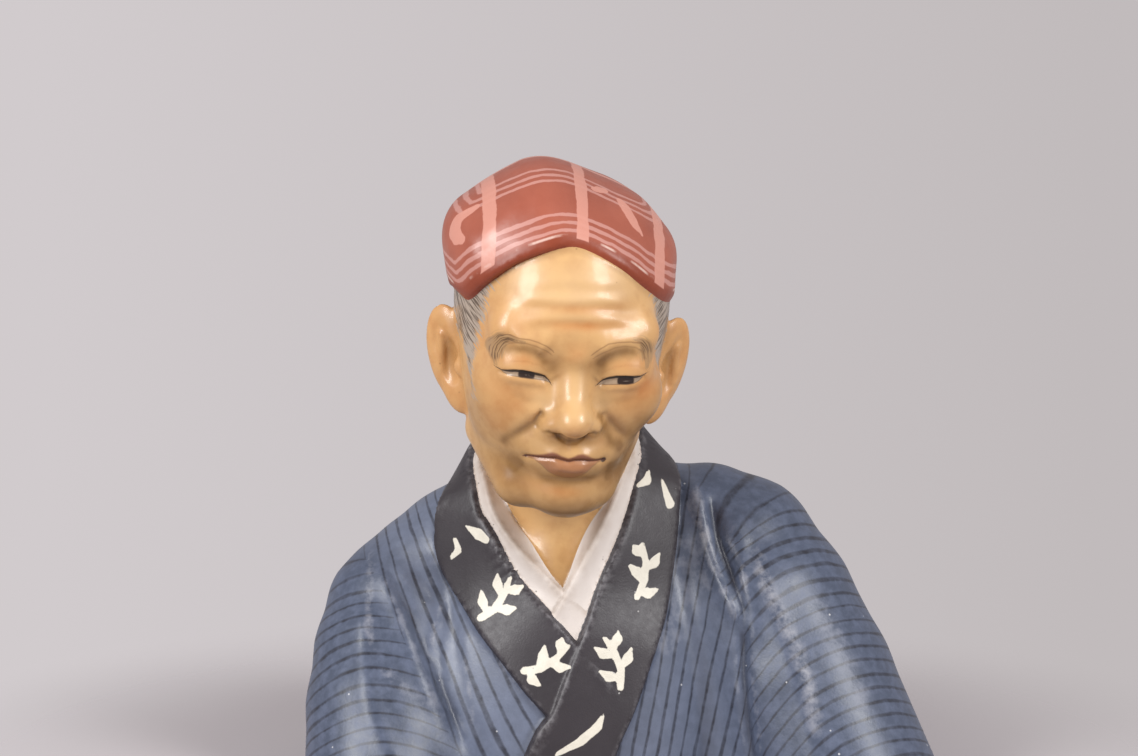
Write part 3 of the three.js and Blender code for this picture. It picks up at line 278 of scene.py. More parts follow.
def skin_form(p):
    """The head with its ears, and the neck down into the collar."""
    def head(points):
        q = in_head(points)
        side = (np.abs(q[:, 0]) > 13) & (np.abs(q[:, 2]) < 20)
        d = face(q)
        if side.any():
            d[side] = join(d[side], ear(q[side]), 1.2)
        return d

    def neck(points):
        d = limb(points, HEAD_AT + (0.2, 6, -14), (0, 2, 56), 13.6, 15.4)
        return join(d, egg(points, (-0.5, -2, 38), (17, 18.7, 22)), 6)

    return join(only(p, near_head(p), head), only(p, p[:, 2] < HEAD_AT[2] - 2, neck), 2.2)


def blotch(x, z, spots):
    """The sum of soft airbrushed spots: x, z, reach across, reach up, strength."""
    total = np.zeros(len(x))
    for sx, sz, rx, rz, strength in spots:
        total += strength * np.exp(-((x - sx) / rx) ** 2 - ((z - sz) / rz) ** 2)
    return total


# airbrushed spots, as blotch takes them: orange, olive (also painted shade), pale (also painted highlight)
WARM = [(-12.5, -1.5, 4.5, 4.5, 0.55), (14.5, -1.5, 4.5, 4.5, 0.6), (-10, 6.6, 4.8, 1.5, 0.5),
        (12, 6.4, 4.8, 1.5, 0.5), (1.0, -6.0, 3.0, 2.2, 0.45), (1.0, 9.5, 3.0, 2.5, 0.4),
        (-18, 8, 3, 8, 0.3), (19, 8, 3, 8, 0.3), (1.5, 17.8, 8, 1.0, 0.45), (1.5, 14.6, 7, 1.0, 0.8),
        (-8, -20.5, 6, 2, 0.3), (-0.5, -21.0, 4.5, 1.3, 0.55), (-14, -8, 3, 3, 0.4),
        (16, 1.5, 2.5, 2.0, 0.5), (-12.5, 14, 4, 4, 0.3)]
DUSK = [(-4.0, 5.6, 2.2, 2.6, 0.6), (6.0, 5.4, 2.2, 2.6, 0.65), (1.2, 6.4, 3.2, 1.5, 0.5),
        (1.0, -9.6, 3.8, 1.2, 0.65), (-9, -2.0, 4.5, 1.2, 0.2), (11.5, -2.2, 4.5, 1.2, 0.25),
        (-4.6, -2, 1.3, 3.4, 0.25), (6.8, -2, 1.3, 3.4, 0.3), (-13.5, -9.5, 4.0, 5.0, 0.25),
        (15.5, -9.0, 3.5, 5.0, 0.6), (-9.6, -16.5, 2.2, 3.4, 0.45), (10.6, -17.0, 2.2, 3.4, 0.5),
        (-11.5, -19, 4.5, 4.0, 0.4), (13.0, -19, 4.0, 4.0, 0.55), (1.5, -27, 10, 3.0, 0.7),
        (-18.5, -6, 2.5, 8, 0.3), (19.5, -6, 2.5, 8, 0.4)]
PALE = [(-2, 22, 7, 4.5, 0.6), (9, 23, 6, 4, 0.5), (1.0, 1.0, 1.5, 6, 0.55),
        (-5.5, -1.5, 2.6, 2.2, 0.5), (6.6, -2.1, 2.2, 2.0, 0.4), (1.0, 20, 9, 1.0, 0.3),
        (2, 16.3, 8, 0.8, 0.3), (-3.0, -21.4, 2.6, 0.9, 0.4)]
# lines darkened with the olive as painted shade in the creases: their points, width and strength
SHADES = [(NOSE_BASE, 0.38, 0.95), (WINGS[0], 0.5, 0.4), (WINGS[1], 0.5, 0.5),
          ([(-6.3, -6.6), (-8.4, -8.2), (-10.3, -9.5), (-12.0, -11.3), (-12.7, -13.7)], 0.95, 0.55),
          ([(7.0, -5.4), (8.4, -8.7), (9.3, -10.3), (11.0, -11.7), (12.4, -13.4)], 1.1, 0.75),
          ([(-5.8, -18.6), (-3.0, -18.9), (-0.2, -19.1), (2.6, -18.9), (5.6, -18.2), (7.9, -17.4)],
           1.2, 0.55),
          ([(8.6, -14.8), (10.4, -16.6), (10.3, -18.6), (8.8, -20.0)], 0.8, 0.4),
          ([(-8.1, -15.4), (-9.3, -17.6), (-10.2, -19.0)], 0.8, 0.3),
          ([(-14.1, 7.4), (-12.4, 8.5), (-10.0, 9.2), (-7.6, 8.9), (-6.0, 7.4), (-4.9, 5.6)], 0.9, 0.6),
          ([(5.2, 5.8), (6.5, 7.7), (8.6, 9.0), (11.0, 9.4), (13.6, 8.8)], 1.1, 0.7)]
IRIS = [(-8.9, 3.7, 1.65), (11.3, 3.0, 1.7)]     # across, up, radius
# a brown line above each eye: painted shade under the brow
CREASE_L = [(-13.4, 5.6), (-11.5, 6.4), (-9.0, 6.6), (-6.4, 5.9), (-4.6, 4.6)]
CREASE_R = [(6.4, 4.6), (8.4, 5.8), (11.2, 6.5), (13.6, 6.2), (15.0, 5.4)]
UPPER_LIP_EDGE = [(-7.9, -14.1), (-6.6, -13.4), (-4.7, -12.7), (-3.0, -11.8), (-2.0, -11.9),
                  (-0.9, -12.4), (0.3, -12.7), (1.3, -12.4), (2.3, -11.9), (3.3, -11.8), (4.4, -12.2),
                  (6.2, -13.4), (7.8, -13.8)]
LOWER_LIP_EDGE = [(-7.9, -14.4), (-6.2, -14.2), (-4.7, -15.1), (-3.4, -16.4), (-1.6, -17.4),
                  (0.2, -17.9), (2.1, -17.8), (3.6, -16.8), (4.7, -15.6), (5.7, -14.7), (6.6, -14.1),
                  (7.8, -14.0)]
# the hair's front edge, as heights and how far forward it lies; then its low edge, the other way about
HAIR_FRONT = ([-6, -3.1, -0.7, 2, 9.5, 13, 30], [17.0, 16.9, 14.9, 14.1, 14.0, 14.8, 14.8])
HAIR_LOW = ([-34, -20, -8, -2, 2, 8, 11, 14, 16, 20], [-15, -13, -8, -3, 4, 5, 2.5, -1, -4, -4.5])
COMB = math.radians(-24)                         # the lie of the hairs


def skin_maps(p):
    """Where each colour of the face lies, for the painter."""
    q = in_head(p)
    x, f, z = q.T
    front = ease(2, 10, f) * ease(-32, -27, z)
    maps = {"warm": blotch(x, z, WARM) * front, "pale": blotch(x, z, PALE) * front}
    maps["dusk"] = blotch(x, z, DUSK) * front
    # darker over the lower face, the olive paint; darker still under the chin, a painted shade
    maps["dusk"] += (0.5 * ease(-25, -28, z) + 0.3 * ease(-4, -17, z)) * ease(4, 14, f)
    for points, wide, strength in SHADES:
        maps["dusk"] += stroke(x, z, points, strength, wide, (-0.02, 0.15, 0.85, 1.02)) * front
    ears = ear(q)
    maps["warm"] += 0.35 * bell(ears / 1.5)
    # olive in the bowl of each ear: painted shade
    inner = np.stack([np.abs(x), f, z], 1) - EAR_AT
    maps["dusk"] += 0.45 * bell(length((inner - (2.4, -1.6, 1.5)) / (2.2, 3.0, 5.0))) * (np.abs(x) > 19)
    # the rest are distances, + outside; away from the face they are made large
    away = np.where((f < 8) | (z < -24), 50.0, 0.0)
    left = x < MIDLINE
    lid_l, share_l, up_l = line(x, z, LID_L)
    lid_r, share_r, up_r = line(x, z, LID_R)
    low_l, _, over_l = line(x, z, LOW_L)
    low_r, _, over_r = line(x, z, LOW_R)
    lid = np.where(left, lid_l * up_l, lid_r * up_r)
    low = np.where(left, low_l * over_l, low_r * over_r)
    outward = np.where(left, 1 - share_l, share_r)
    maps["eye_white"] = np.maximum(lid, -low) + away
    maps["lash"] = (lid - 0.02) / (0.08 + 0.27 * ease(0, 0.3, outward) * ease(1, 0.75, outward)) + away
    maps["lower_lid"] = low + away
    maps["crease"] = np.where(left, line(x, z, CREASE_L)[0], line(x, z, CREASE_R)[0]) + away
    maps["iris"] = np.minimum(*[np.hypot(x - ix, z - iz) - r for ix, iz, r in IRIS]) + away
    maps["iris"] = np.maximum(maps["iris"], maps["eye_white"])
    glints = [np.hypot((x - ix - 0.1) * 0.35, (z - iz + 0.05) * 2) - 0.24 for ix, iz, _ in IRIS]
    maps["glint"] = np.minimum(*glints) + away
    mouth, _, up = line(x, z, MOUTH)
    maps["mouth"] = mouth * up + away
    maps["drawn"] = np.minimum(np.where(left, np.minimum(lid_l, low_l), np.minimum(lid_r, low_r)), mouth)
    upper, _, above = line(x, z, UPPER_LIP_EDGE)
    lower, _, over = line(x, z, LOWER_LIP_EDGE)
    maps["drawn"] = np.minimum(np.minimum(maps["drawn"], maps["crease"]), lower) + away
    maps["lips"] = np.maximum(upper * above, -lower * over) + away
    maps["upper_lip"] = np.maximum(maps["lips"], -mouth * up)
    ends = [np.hypot(x - ex, z - ez) for ex, ez in (MOUTH[0], MOUTH[-1])]
    maps["mouth_end"] = np.minimum(ends[0] - 0.28, ends[1] - 0.55) + away
    maps["lip_edge"] = lower * over + away
    brow_l, share_l, side_l = line(x, z, BROW_L)
    brow_r, share_r, side_r = line(x, z, BROW_R)
    half_l = 0.3 + 1.3 * ease(0.0, 0.25, share_l) * ease(1.0, 0.45, share_l)
    half_r = 0.3 + 1.0 * ease(1.0, 0.7, share_r) * ease(0.0, 0.45, share_r)
    maps["brow"] = np.where(left, brow_l - half_l, brow_r - half_r) + away
    rows = [line(x, z, points) for points in BROW_LINES]
    maps["brow_top"] = np.where(left, rows[0][0] * rows[0][2], rows[2][0] * rows[2][2])
    maps["brow_low"] = np.where(left, rows[1][0] * rows[1][2], rows[3][0] * rows[3][2])
    maps["brow_near"] = np.min([row[0] for row in rows], axis=0) + away
    maps["stroke_along"] = np.where(left, share_l * 12.0, share_r * 9.0 + 40)
    maps["stroke_across"] = np.where(left, brow_l * side_l, brow_r * side_r)
    front_edge = np.interp(z, *HAIR_FRONT) - f
    low_edge = z - np.interp(f, *HAIR_LOW)
    maps["hair"] = -np.minimum(np.minimum(front_edge, low_edge), 2.5 * (ears - face(q)) - 1.0)
    maps["comb_along"] = f * math.cos(COMB) + z * math.sin(COMB)
    maps["comb_across"] = z * math.cos(COMB) - f * math.sin(COMB)
    return maps


def linear(hue):
    """A colour written as it looks, in the light's own numbers."""
    levels = [int(hue[i:i + 2], 16) / 255 for i in (1, 3, 5)]
    return (*[v / 12.92 if v < 0.04045 else ((v + 0.055) / 1.055) ** 2.4 for v in levels], 1.0)


def give(node, inputs):
    """A node's values, and its links where a value comes from another node."""
    for name, value in inputs.items():
        if isinstance(value, bpy.types.NodeSocket):
            node.id_data.links.new(value, node.inputs[name])
        else:
            node.inputs[name].default_value = value


def add(tree, kind, inputs=None, out=0, **settings):
    """A node with its settings, values and links; the output that is wanted comes back."""
    made = tree.nodes.new("ShaderNode" + kind)
    for name, value in settings.items():
        setattr(made, name, value)
    give(made, inputs or {})
    return made.outputs[out]


def lay(tree, tone, hue, value, start, full, strength):
    """A colour laid over the tone: none of it where value is at start, and strength where it is full."""
    cover = add(tree, "MapRange", {0: value, 1: start, 2: full, 3: 0.0, 4: strength})
    return add(tree, "Mix", {0: cover, 6: tone, 7: linear(hue)}, data_type="RGBA", out=2)


def new_paint(name, maps):
    """A paint to be mixed: material, tree, shader, the maps that it reads, and the place on the doll."""
    made = bpy.data.materials.new(name)
    made.use_nodes = True
    tree = made.node_tree
    at = {each: add(tree, "Attribute", attribute_name=each, out="Fac") for each in maps}
    return made, tree, tree.nodes["Principled BSDF"], at, add(tree, "TexCoord", out="Object")


def skin_paint():
    """Airbrushed, glue-bound pigment over white, burnished: a waxy gloss with soft orange and olive."""
    made, tree, shader, at, place = new_paint("burnished_flesh_pigment_on_clay", (
        "warm", "pale", "dusk", "eye_white", "lash", "lower_lid", "crease", "drawn", "iris", "glint",
        "mouth", "lips", "upper_lip", "lip_edge", "mouth_end", "brow", "brow_top", "brow_low",
        "brow_near", "stroke_along", "stroke_across", "hair", "comb_along", "comb_across", "worn_and_shaded"))
    # a noise's scale is 1000 over its size in mm; the grain is drawn coarser than real pigment's, to show
    mist = add(tree, "TexNoise", {"Vector": place, "Scale": 1000 / 9, "Detail": 3.0}, out="Fac")
    cloud = add(tree, "TexNoise", {"Vector": place, "Scale": 1000 / 3.2, "Detail": 4.0}, out="Fac")
    grain = add(tree, "TexNoise", {"Vector": place, "Scale": 1000 / 0.7, "Detail": 3.0}, out="Fac")
    tone = add(tree, "Mix", {0: mist, 6: linear("#C99B65"), 7: linear("#D9AE76")}, data_type="RGBA", out=2)
    tone = lay(tree, tone, "#B07B48", cloud, 0.45, 0.72, 0.35)
    # airbrushed tones: map, colour, strength, how much the mist breaks it
    # the pale is also a painted highlight, and the dusk also a painted shade
    for name, hue, strength, broken in (("pale", "#EFCFA0", 0.45, 0.5), ("warm", "#C67D40", 0.8, 0.7),
                                        ("dusk", "#7B5524", 0.85, 0.4)):
        uneven = add(tree, "Math", {0: cloud, 1: broken * 1.6, 2: 1 - broken * 0.8},
                     operation="MULTIPLY_ADD")
        cover = add(tree, "Math", {0: at[name], 1: uneven}, operation="MULTIPLY")
        tone = lay(tree, tone, hue, cover, 0.0, 1.0, strength)
    # painted shade, darker in the hollows
    tone = lay(tree, tone, "#7E5A34", at["worn_and_shaded"], -0.03, -0.32, 0.55)
    # hair and brows: a wash with darker hairs in it, feathered along the brush strokes
    for name, along, across, fine, wash, dark, feather, cover in (
            ("hair", "comb_along", "comb_across", 0.55, "#A6998C", "#2A2421", 11.0, 0.92),
            ("brow", "stroke_along", "stroke_across", 0.3, "#A9855C", "#4A3320", 2.6, 0.9)):
        lie = add(tree, "CombineXYZ", {0: at[along], 1: at[across]})
        drawn = add(tree, "Mapping", {"Vector": lie, "Scale": (0.16, 1 / fine, 1.0)})
        brushed = add(tree, "TexNoise", {"Vector": drawn, "Scale": 1.0, "Detail": 2.0}, out="Fac")
        ragged = add(tree, "Math", {0: brushed, 1: -0.5})
        ragged = add(tree, "Math", {0: ragged, 1: feather, 2: at[name]}, operation="MULTIPLY_ADD")
        over = add(tree, "MapRange", {0: ragged, 1: 0.35, 2: -0.35, 3: 0.0, 4: cover})
        inked = add(tree, "MapRange", {0: brushed, 1: 0.46, 2: 0.58, 3: 0.0, 4: 0.9})
        hairs = add(tree, "Mix", {0: inked, 6: linear(wash), 7: linear(dark)}, data_type="RGBA", out=2)
        tone = add(tree, "Mix", {0: over, 6: tone, 7: hairs}, data_type="RGBA", out=2)
    # brushed areas: map, colour, where it starts, where it is full, strength
    for name, hue, start, full, strength in (
            ("lips", "#A36C49", 0.25, -0.3, 0.85), ("upper_lip", "#774633", 0.2, -0.25, 0.8),
            ("eye_white", "#A18B74", 0.08, -0.08, 0.92), ("iris", "#2A180F", 0.2, -0.12, 1.0),
            ("glint", "#6E625A", 0.06, -0.06, 0.7), ("mouth_end", "#2A1712", 0.1, -0.1, 0.9)):
        tone = lay(tree, tone, hue, at[name], start, full, strength)
    # fine brush lines: map, colour, half width, softness, strength; a line's side changes past its ends
    # too, so the lines are kept to the places near one
    by_line = add(tree, "MapRange", {0: at["drawn"], 1: 0.8, 2: 0.6, 3: 0.0, 4: 1.0})
    by_brow = add(tree, "MapRange", {0: at["brow_near"], 1: 0.6, 2: 0.4, 3: 0.0, 4: 1.0})
    for name, hue, half, soft, strength in (
            ("mouth", "#4F2419", 0.16, 0.1, 0.9), ("lower_lid", "#5E4330", 0.07, 0.07, 0.7),
            ("lash", "#1E1512", 1.0, 0.3, 0.97), ("crease", "#A06A3A", 0.05, 0.3, 0.4),
            ("lip_edge", "#5E3B26", 0.06, 0.2, 0.6),
            ("brow_top", "#7A4F2C", 0.1, 0.15, 0.7), ("brow_low", "#8C643C", 0.11, 0.18, 0.6)):
        far = add(tree, "Math", {0: at[name]}, operation="ABSOLUTE")
        within = add(tree, "MapRange", {0: far, 1: half + soft, 2: half - soft, 3: 0.0, 4: strength})
        guard = by_brow if name.startswith("brow") else by_line
        if name != "crease":
            within = add(tree, "Math", {0: within, 1: guard}, operation="MULTIPLY")
        if name == "mouth":
            reach = add(tree, "MapRange", {0: at["mouth_end"], 1: 8.5, 2: 0.0, 3: 0.75, 4: 1.0})
            within = add(tree, "Math", {0: within, 1: reach}, operation="MULTIPLY")
        tone = add(tree, "Mix", {0: within, 6: tone, 7: linear(hue)}, data_type="RGBA", out=2)
    # tiny specks where the pigment has pitted
    pits = add(tree, "TexVoronoi", {"Vector": place, "Scale": 1000 / 3.4}, out="Distance")
    pitted = add(tree, "MapRange", {0: pits, 1: 0.075, 2: 0.04, 3: 0.0, 4: 0.55})
    where = add(tree, "MapRange", {0: mist, 1: 0.5, 2: 0.62, 3: 0.0, 4: 1.0})
    pitted = add(tree, "Math", {0: pitted, 1: where}, operation="MULTIPLY")
    tone = add(tree, "Mix", {0: pitted, 6: tone, 7: linear("#6B4426")}, data_type="RGBA", out=2)
    gloss = add(tree, "MapRange", {0: cloud, 1: 0.3, 2: 0.7, 3: 0.34, 4: 0.46})
    relief = add(tree, "Math", {0: cloud, 1: 3.0, 2: grain}, operation="MULTIPLY_ADD")
    skin = add(tree, "Bump", {"Height": relief, "Strength": 0.5, "Distance": 0.00003})
    give(shader, {"Base Color": tone, "Roughness": gloss, "Normal": skin,
                  "Coat Weight": 0.2, "Coat Roughness": 0.14})
    return made


# The headcloth
# A washed cotton cloth tied flat over the crown, its front edge drawn up in a shallow point, a knot
# behind. It is moulded with the head and painted brick red, then checked in pink with a flat and a
# fine brush.
RIM_AT = [-180, -110, -75, -58, -44, -30, -16, -3, 9, 23, 35, 48, 60, 75, 110, 180]
RIM_Z = [2, 12, 13.6, 14.0, 19.2, 24.4, 27.5, 29.0, 28.0, 24.9, 20.8, 17.0, 14.6, 13.0, 11.5, 2]
RIM = curve(list(zip(RIM_AT, RIM_Z)), 4)     # the cloth's edge: bearing round the head, and height
CLOTH_FOLDS = (([(-24, 16), (-20, 27), (-12, 35)], 1.8, 0.4), ([(23, 15), (19, 26), (11, 33)], 1.6, 0.3))
CROWN = ((-0.4, -4.6, 16.2), (23.9, 30.4, 21.3))
CROSS_BANDS = [-17.3, 1.1, 18.2]     # flat-brush bands over the head, where they cross it
BACK_BANDS = [-9.0, -27.0]           # and round it, at the sides and the back
CLOTH_DABS = [    # each: points across, forward and up, with the brush's half width
    [(-19.5, 4.6, 32.4, 0.8), (-21.4, 4.3, 30.9, 1.3), (-23.2, 4.1, 29.2, 1.8), (-23.9, 5.2, 27.3, 2.0),
     (-23.4, 7.1, 26.4, 1.7), (-22.2, 8.8, 26.4, 1.0)],
    [(4.6, 3.6, 36.8, 0.9), (5.6, 2.8, 36.5, 1.15), (6.8, 2.0, 36.1, 0.8)],
    [(9.9, 3.6, 34.7, 0.7), (10.7, 5.4, 33.9, 1.25), (11.6, 7.8, 33.0, 1.35), (12.6, 9.9, 31.4, 1.1),
     (14.0, 11.0, 29.6, 0.4)]]


def from_path(p, points):
    """Distance from a path that runs straight from point to point."""
    near = np.full(len(p), 1e9)
    for a, b in zip(points, points[1:]):
        near = np.minimum(near, limb(p, a, b, 0, 0))
    return near


def rim_height(x, f):
    """Height of the cloth's edge at this bearing round the head."""
    return np.interp(np.degrees(np.arctan2(x, f + 3)), RIM[:, 0], RIM[:, 1])


def headcloth(q):
    """The cloth over the crown with its two rounded corners, its roll, and the knot behind."""
    x, f, z = q.T
    mirrored = np.stack([np.abs(x), f, z], 1)
    d = egg(q, *CROWN)
    long = np.stack([x, (f + 2) * 0.6, z], 1)
    d = join(d, limb(long, (-18.1, 0, 25.3), (-6.2, 0, 30.9), 7.0, 9.0), 7)
    d = join(d, limb(long, (16.4, 0, 22.1), (11.4, 0, 26.1), 6.6, 7.6), 2)
    for points, wide, high in CLOTH_FOLDS:
        d = d - high * bell(line(x, z, points)[0] / wide) * ease(-4, 8, f)
    d = carve(d, (z - rim_height(x, f)) * 0.72, 1.6)
    knot = egg(q, (0, -34.5, 3), (5.2, 3.4, 4.2))
    knot = join(knot, limb(q, (1.5, -35, 1), (6.5, -34, -8), 1.9, 2.9), 1.2)
    knot = join(knot, limb(q, (-1.5, -35, 1), (-5.5, -33.6, -7), 1.9, 2.9), 1.2)
    roll = np.minimum(limb(mirrored, (22.4, -6, 12.4), (17.2, -23, 8), 0.8, 2.0),
                      limb(mirrored, (17.2, -23, 8), (0, -33.5, 3.5), 2.0, 2.6))
    return join(d, join(roll, knot, 1.5), 2.2)


def cloth_form(p):
    """The headcloth, measured where it is near."""
    def form(points):
        q = in_head(points)
        return only(q, q[:, 2] > -14, headcloth)

    return only(p, near_head(p) & (p[:, 2] > 76), form)


def cloth_maps(p):
    q = in_head(p)
    x, f, z = q.T
    # at each bearing, the edge is where a line at its height comes out of the crown
    rim = []
    for bearing in np.radians(np.arange(-180, 181, 3)):
        radii = np.linspace(5, 40, 700)
        ring = np.stack([radii * math.sin(bearing), radii * math.cos(bearing) - 3, radii * 0], 1)
        ring[:, 2] = rim_height(ring[:, 0], ring[:, 1])
        rim.append(ring[np.argmax(egg(ring, *CROWN) > 0)])
    dabs = np.full(len(q), 1e9)
    for points in CLOTH_DABS:
        for a, b in zip(points, points[1:]):
            dabs = np.minimum(dabs, limb(q, a[:3], b[:3], a[3], b[3]))
    return {"rim": from_path(q, rim), "across": x - 0.03 * (z - 25), "back": f, "dabs": dabs}


def cloth_paint():
    """Brick-red pigment burnished in the glue, with flatter opaque pink laid over it by two brushes."""
    made, tree, shader, at, place = new_paint("burnished_red_and_pink_pigment_on_clay",
                                              ("rim", "across", "back", "dabs", "worn_and_shaded"))
    mist = add(tree, "TexNoise", {"Vector": place, "Scale": 1000 / 7, "Detail": 4.0}, out="Fac")
    shake = add(tree, "TexNoise", {"Vector": place, "Scale": 1000 / 2.6, "Detail": 2.0}, out="Fac")
    grain = add(tree, "TexNoise", {"Vector": place, "Scale": 1000 / 0.6, "Detail": 3.0}, out="Fac")
    tone = add(tree, "Mix", {0: mist, 6: linear("#914936"), 7: linear("#AE624D")}, data_type="RGBA", out=2)
    # the turned-in hem darker, a painted shade where the roll turns under
    tone = lay(tree, tone, "#86381D", at["rim"], 3.5, 2.3, 0.85)
    # ruled lines, then bands, then odd strokes: map, place, half width, colour, strength
    ruled = [(at["rim"], middle, 0.42, "#C68F84", 0.80) for middle in (4.0, 5.8, 7.7, 17.0, 19.0, 21.2)]
    ruled += [(at["across"], middle, 1.25, "#D09180", 0.93) for middle in CROSS_BANDS]
    ruled += [(at["back"], middle, 1.25, "#D09180", 0.93) for middle in BACK_BANDS]
    ruled += [(at["dabs"], -2.0, 2.0, "#D09180", 0.93)]
    edge_stop = add(tree, "MapRange", {0: at["rim"], 1: 2.1, 2: 2.35, 3: 0.0, 4: 1.0})
    for value, middle, half, hue, strength in ruled:
        moved = add(tree, "Math", {0: shake, 1: 0.7, 2: -0.35 - middle}, operation="MULTIPLY_ADD")
        moved = add(tree, "Math", {0: value, 1: moved})
        far = add(tree, "Math", {0: moved}, operation="ABSOLUTE")
        far = add(tree, "Math", {0: mist, 1: 0.5, 2: far}, operation="MULTIPLY_ADD")
        over = add(tree, "MapRange", {0: far, 1: half + 0.34, 2: half + 0.16, 3: 0.0, 4: strength})
        over = add(tree, "Math", {0: over, 1: edge_stop}, operation="MULTIPLY")
        tone = add(tree, "Mix", {0: over, 6: tone, 7: linear(hue)}, data_type="RGBA", out=2)
    rubbed = add(tree, "Math", {0: at["worn_and_shaded"], 1: shake}, operation="MULTIPLY")
    tone = lay(tree, tone, "#D9B4A6", rubbed, 0.09, 0.3, 0.5)
    # the ridge of the turned edge, white where the gloss has flaked and where a painted highlight lies
    # along it
    ridge = add(tree, "Math", {0: at["rim"], 1: -2.9})
    ridge = add(tree, "Math", {0: ridge}, operation="ABSOLUTE")
    ridge = add(tree, "MapRange", {0: ridge, 1: 0.38, 2: 0.12, 3: 0.0, 4: 1.0})
    flaked_and_highlit = add(tree, "MapRange", {0: mist, 1: 0.5, 2: 0.6, 3: 0.0, 4: 0.7})
    flaked_and_highlit = add(tree, "Math", {0: ridge, 1: flaked_and_highlit}, operation="MULTIPLY")
    tone = add(tree, "Mix", {0: flaked_and_highlit, 6: tone, 7: linear("#E6C9BC")}, data_type="RGBA", out=2)
    # painted shade, darker in the hollows
    tone = lay(tree, tone, "#4A2318", at["worn_and_shaded"], -0.06, -0.4, 0.6)
    gloss = add(tree, "MapRange", {0: shake, 1: 0.3, 2: 0.7, 3: 0.33, 4: 0.45})
    relief = add(tree, "Math", {0: shake, 1: 3.0, 2: grain}, operation="MULTIPLY_ADD")
    brushed = add(tree, "Bump", {"Height": relief, "Strength": 0.5, "Distance": 0.00004})
    give(shader, {"Base Color": tone, "Roughness": gloss, "Normal": brushed})
    return made


# The jacket
# A short, soft-shouldered working jacket, both sleeves hanging forward from the shoulders.
# Moulded with the body; slate-blue pigment in glue, stippled on, with the stripes ruled by a fine brush.

# limbs of cloth over the body, as points with the radius there
SLEEVE_R = [(16, 9, 50.0, 15.2), (31, 6, 50.2, 16), (37.6, 5, 46.2, 18), (43.9, 0, 35.6, 19.5),
            (51.4, -6, 20.2, 20.1), (61.0, -15, -3.0, 20.5)]
SLEEVE_L = [(-16, 9, 50.5, 13), (-24.6, 7, 46.0, 13.9), (-30.2, 6, 41.5, 14), (-35.2, 5, 37.4, 14),
            (-37.2, 3, 34.4, 15), (-38.7, -2, 25.8, 16), (-39.0, -8, 15.3, 17), (-37.8, -15, -2.2, 18.5)]
NECKLINE = [(-21, 7, 50.5, 11.5), (-12, 14, 55, 12), (0, 17.5, 57, 12), (12, 14.5, 56.5, 12),
            (20, 8, 54, 12)]
WEB_R = [(30, 4, 34, 13), (40, -3, 12, 13), (44, -7, -6, 14)]
WEB_L = [(-28, 4, 26, 12), (-29, 0, 8, 13), (-29, -4, -6, 14)]
# folds pressed on the front: points, width, and height, or depth where it is less than nothing
JACKET_FOLDS = [
    ([(-42, 52), (-37, 42), (-30, 26), (-22, 8), (-17, -4)], 2.4, 1.0),
    ([(-38, 50), (-30, 38), (-25, 30), (-21, 14), (-17, 0)], 1.8, 0.45),
    ([(-28, 56), (-29, 46), (-24, 36), (-19, 22), (-12, 4)], 1.7, 0.4),
    ([(-26, 40), (-28.5, 30), (-27, 22)], 1.2, 0.4),
    ([(-22, 34), (-21, 26), (-18.5, 14)], 1.4, 0.4),
    ([(-44, 40), (-43, 28), (-40, 16), (-33, 4)], 2.4, 0.7),
    ([(-41, 49), (-35, 40), (-28, 25), (-20, 8)], 1.3, -0.9),
    ([(-31, 52), (-26, 40), (-22, 30), (-17, 14)], 1.2, -0.35),
    ([(25.5, 65), (29, 60), (31, 49), (34.5, 41), (37, 35)], 1.9, 1.3),
    ([(36, 58), (38, 50), (37, 41), (36, 34)], 1.6, 0.7),
    ([(40, 52), (46, 34), (51, 16), (54, 0)], 3.0, 0.8),
    ([(33, 56), (38, 46), (40, 30)], 1.5, 0.5),
    ([(31, 62), (33, 52), (36.5, 43), (38.5, 34)], 1.3, -1.3),
    ([(38.3, 37), (38, 28), (39, 16), (41, 2)], 1.0, -1.1),
]


def chain(p, nodes):
    """Limbs from point to point."""
    made = None
    for a, b in zip(nodes, nodes[1:]):
        link = limb(p, a[:3], b[:3], a[3], b[3])
        made = link if made is None else join(made, link, 1.2)
    return made


def jacket(p):
    """Body, back, sleeves, the fullness round the neck and under the arms, and the folds."""
    x, y, z = p.T
    d = join(egg(p, (1, 5, 8), (36, 31, 58)), egg(p, (0, 15, 46), (24, 15.5, 24)), 8)
    d = join(d, chain(p, SLEEVE_L), 5)
    d = join(d, chain(p, SLEEVE_R), 5)
    d = join(d, chain(p, NECKLINE), 3)
    d = join(d, np.minimum(chain(p, WEB_L), chain(p, WEB_R)), 4)
    front = ease(8, -4, y)
    live = (front > 0) & (np.abs(d) < 8)
    for points, wide, high in JACKET_FOLDS:
        drawn = curve(points, 3)
        (x0, z0), (x1, z1) = drawn.min(0) - 3 * wide, drawn.max(0) + 3 * wide
        here = np.nonzero(live & (x > x0) & (x < x1) & (z > z0) & (z < z1))[0]
        if len(here):
            d[here] -= stroke(x[here], z[here], drawn, high, wide, (0, 0.15, 0.8, 1)) * front[here]
    return carve(d, limb(p, (-1, -10, 84), (-0.5, -3, 62), 20, 18), 1.5)


def jacket_form(p):
    """The jacket, measured below the face."""
    return only(p, p[:, 2] < 76, jacket)


ARMHOLE_R = [(29.5, 72), (28.5, 63.9), (29.8, 58.3), (31.6, 48.4), (35.1, 41.6), (37, 36.5), (38.3, 32.2),
             (39, 20), (40.6, 4), (41, -6)]
ARMHOLE_L = [(-56, 52), (-48, 48.5), (-42.3, 46.5), (-38, 39.1), (-30.3, 24.1), (-22.5, 8.7), (-16, -6)]
PITCH = 2.8           # from one ruled stripe to the next
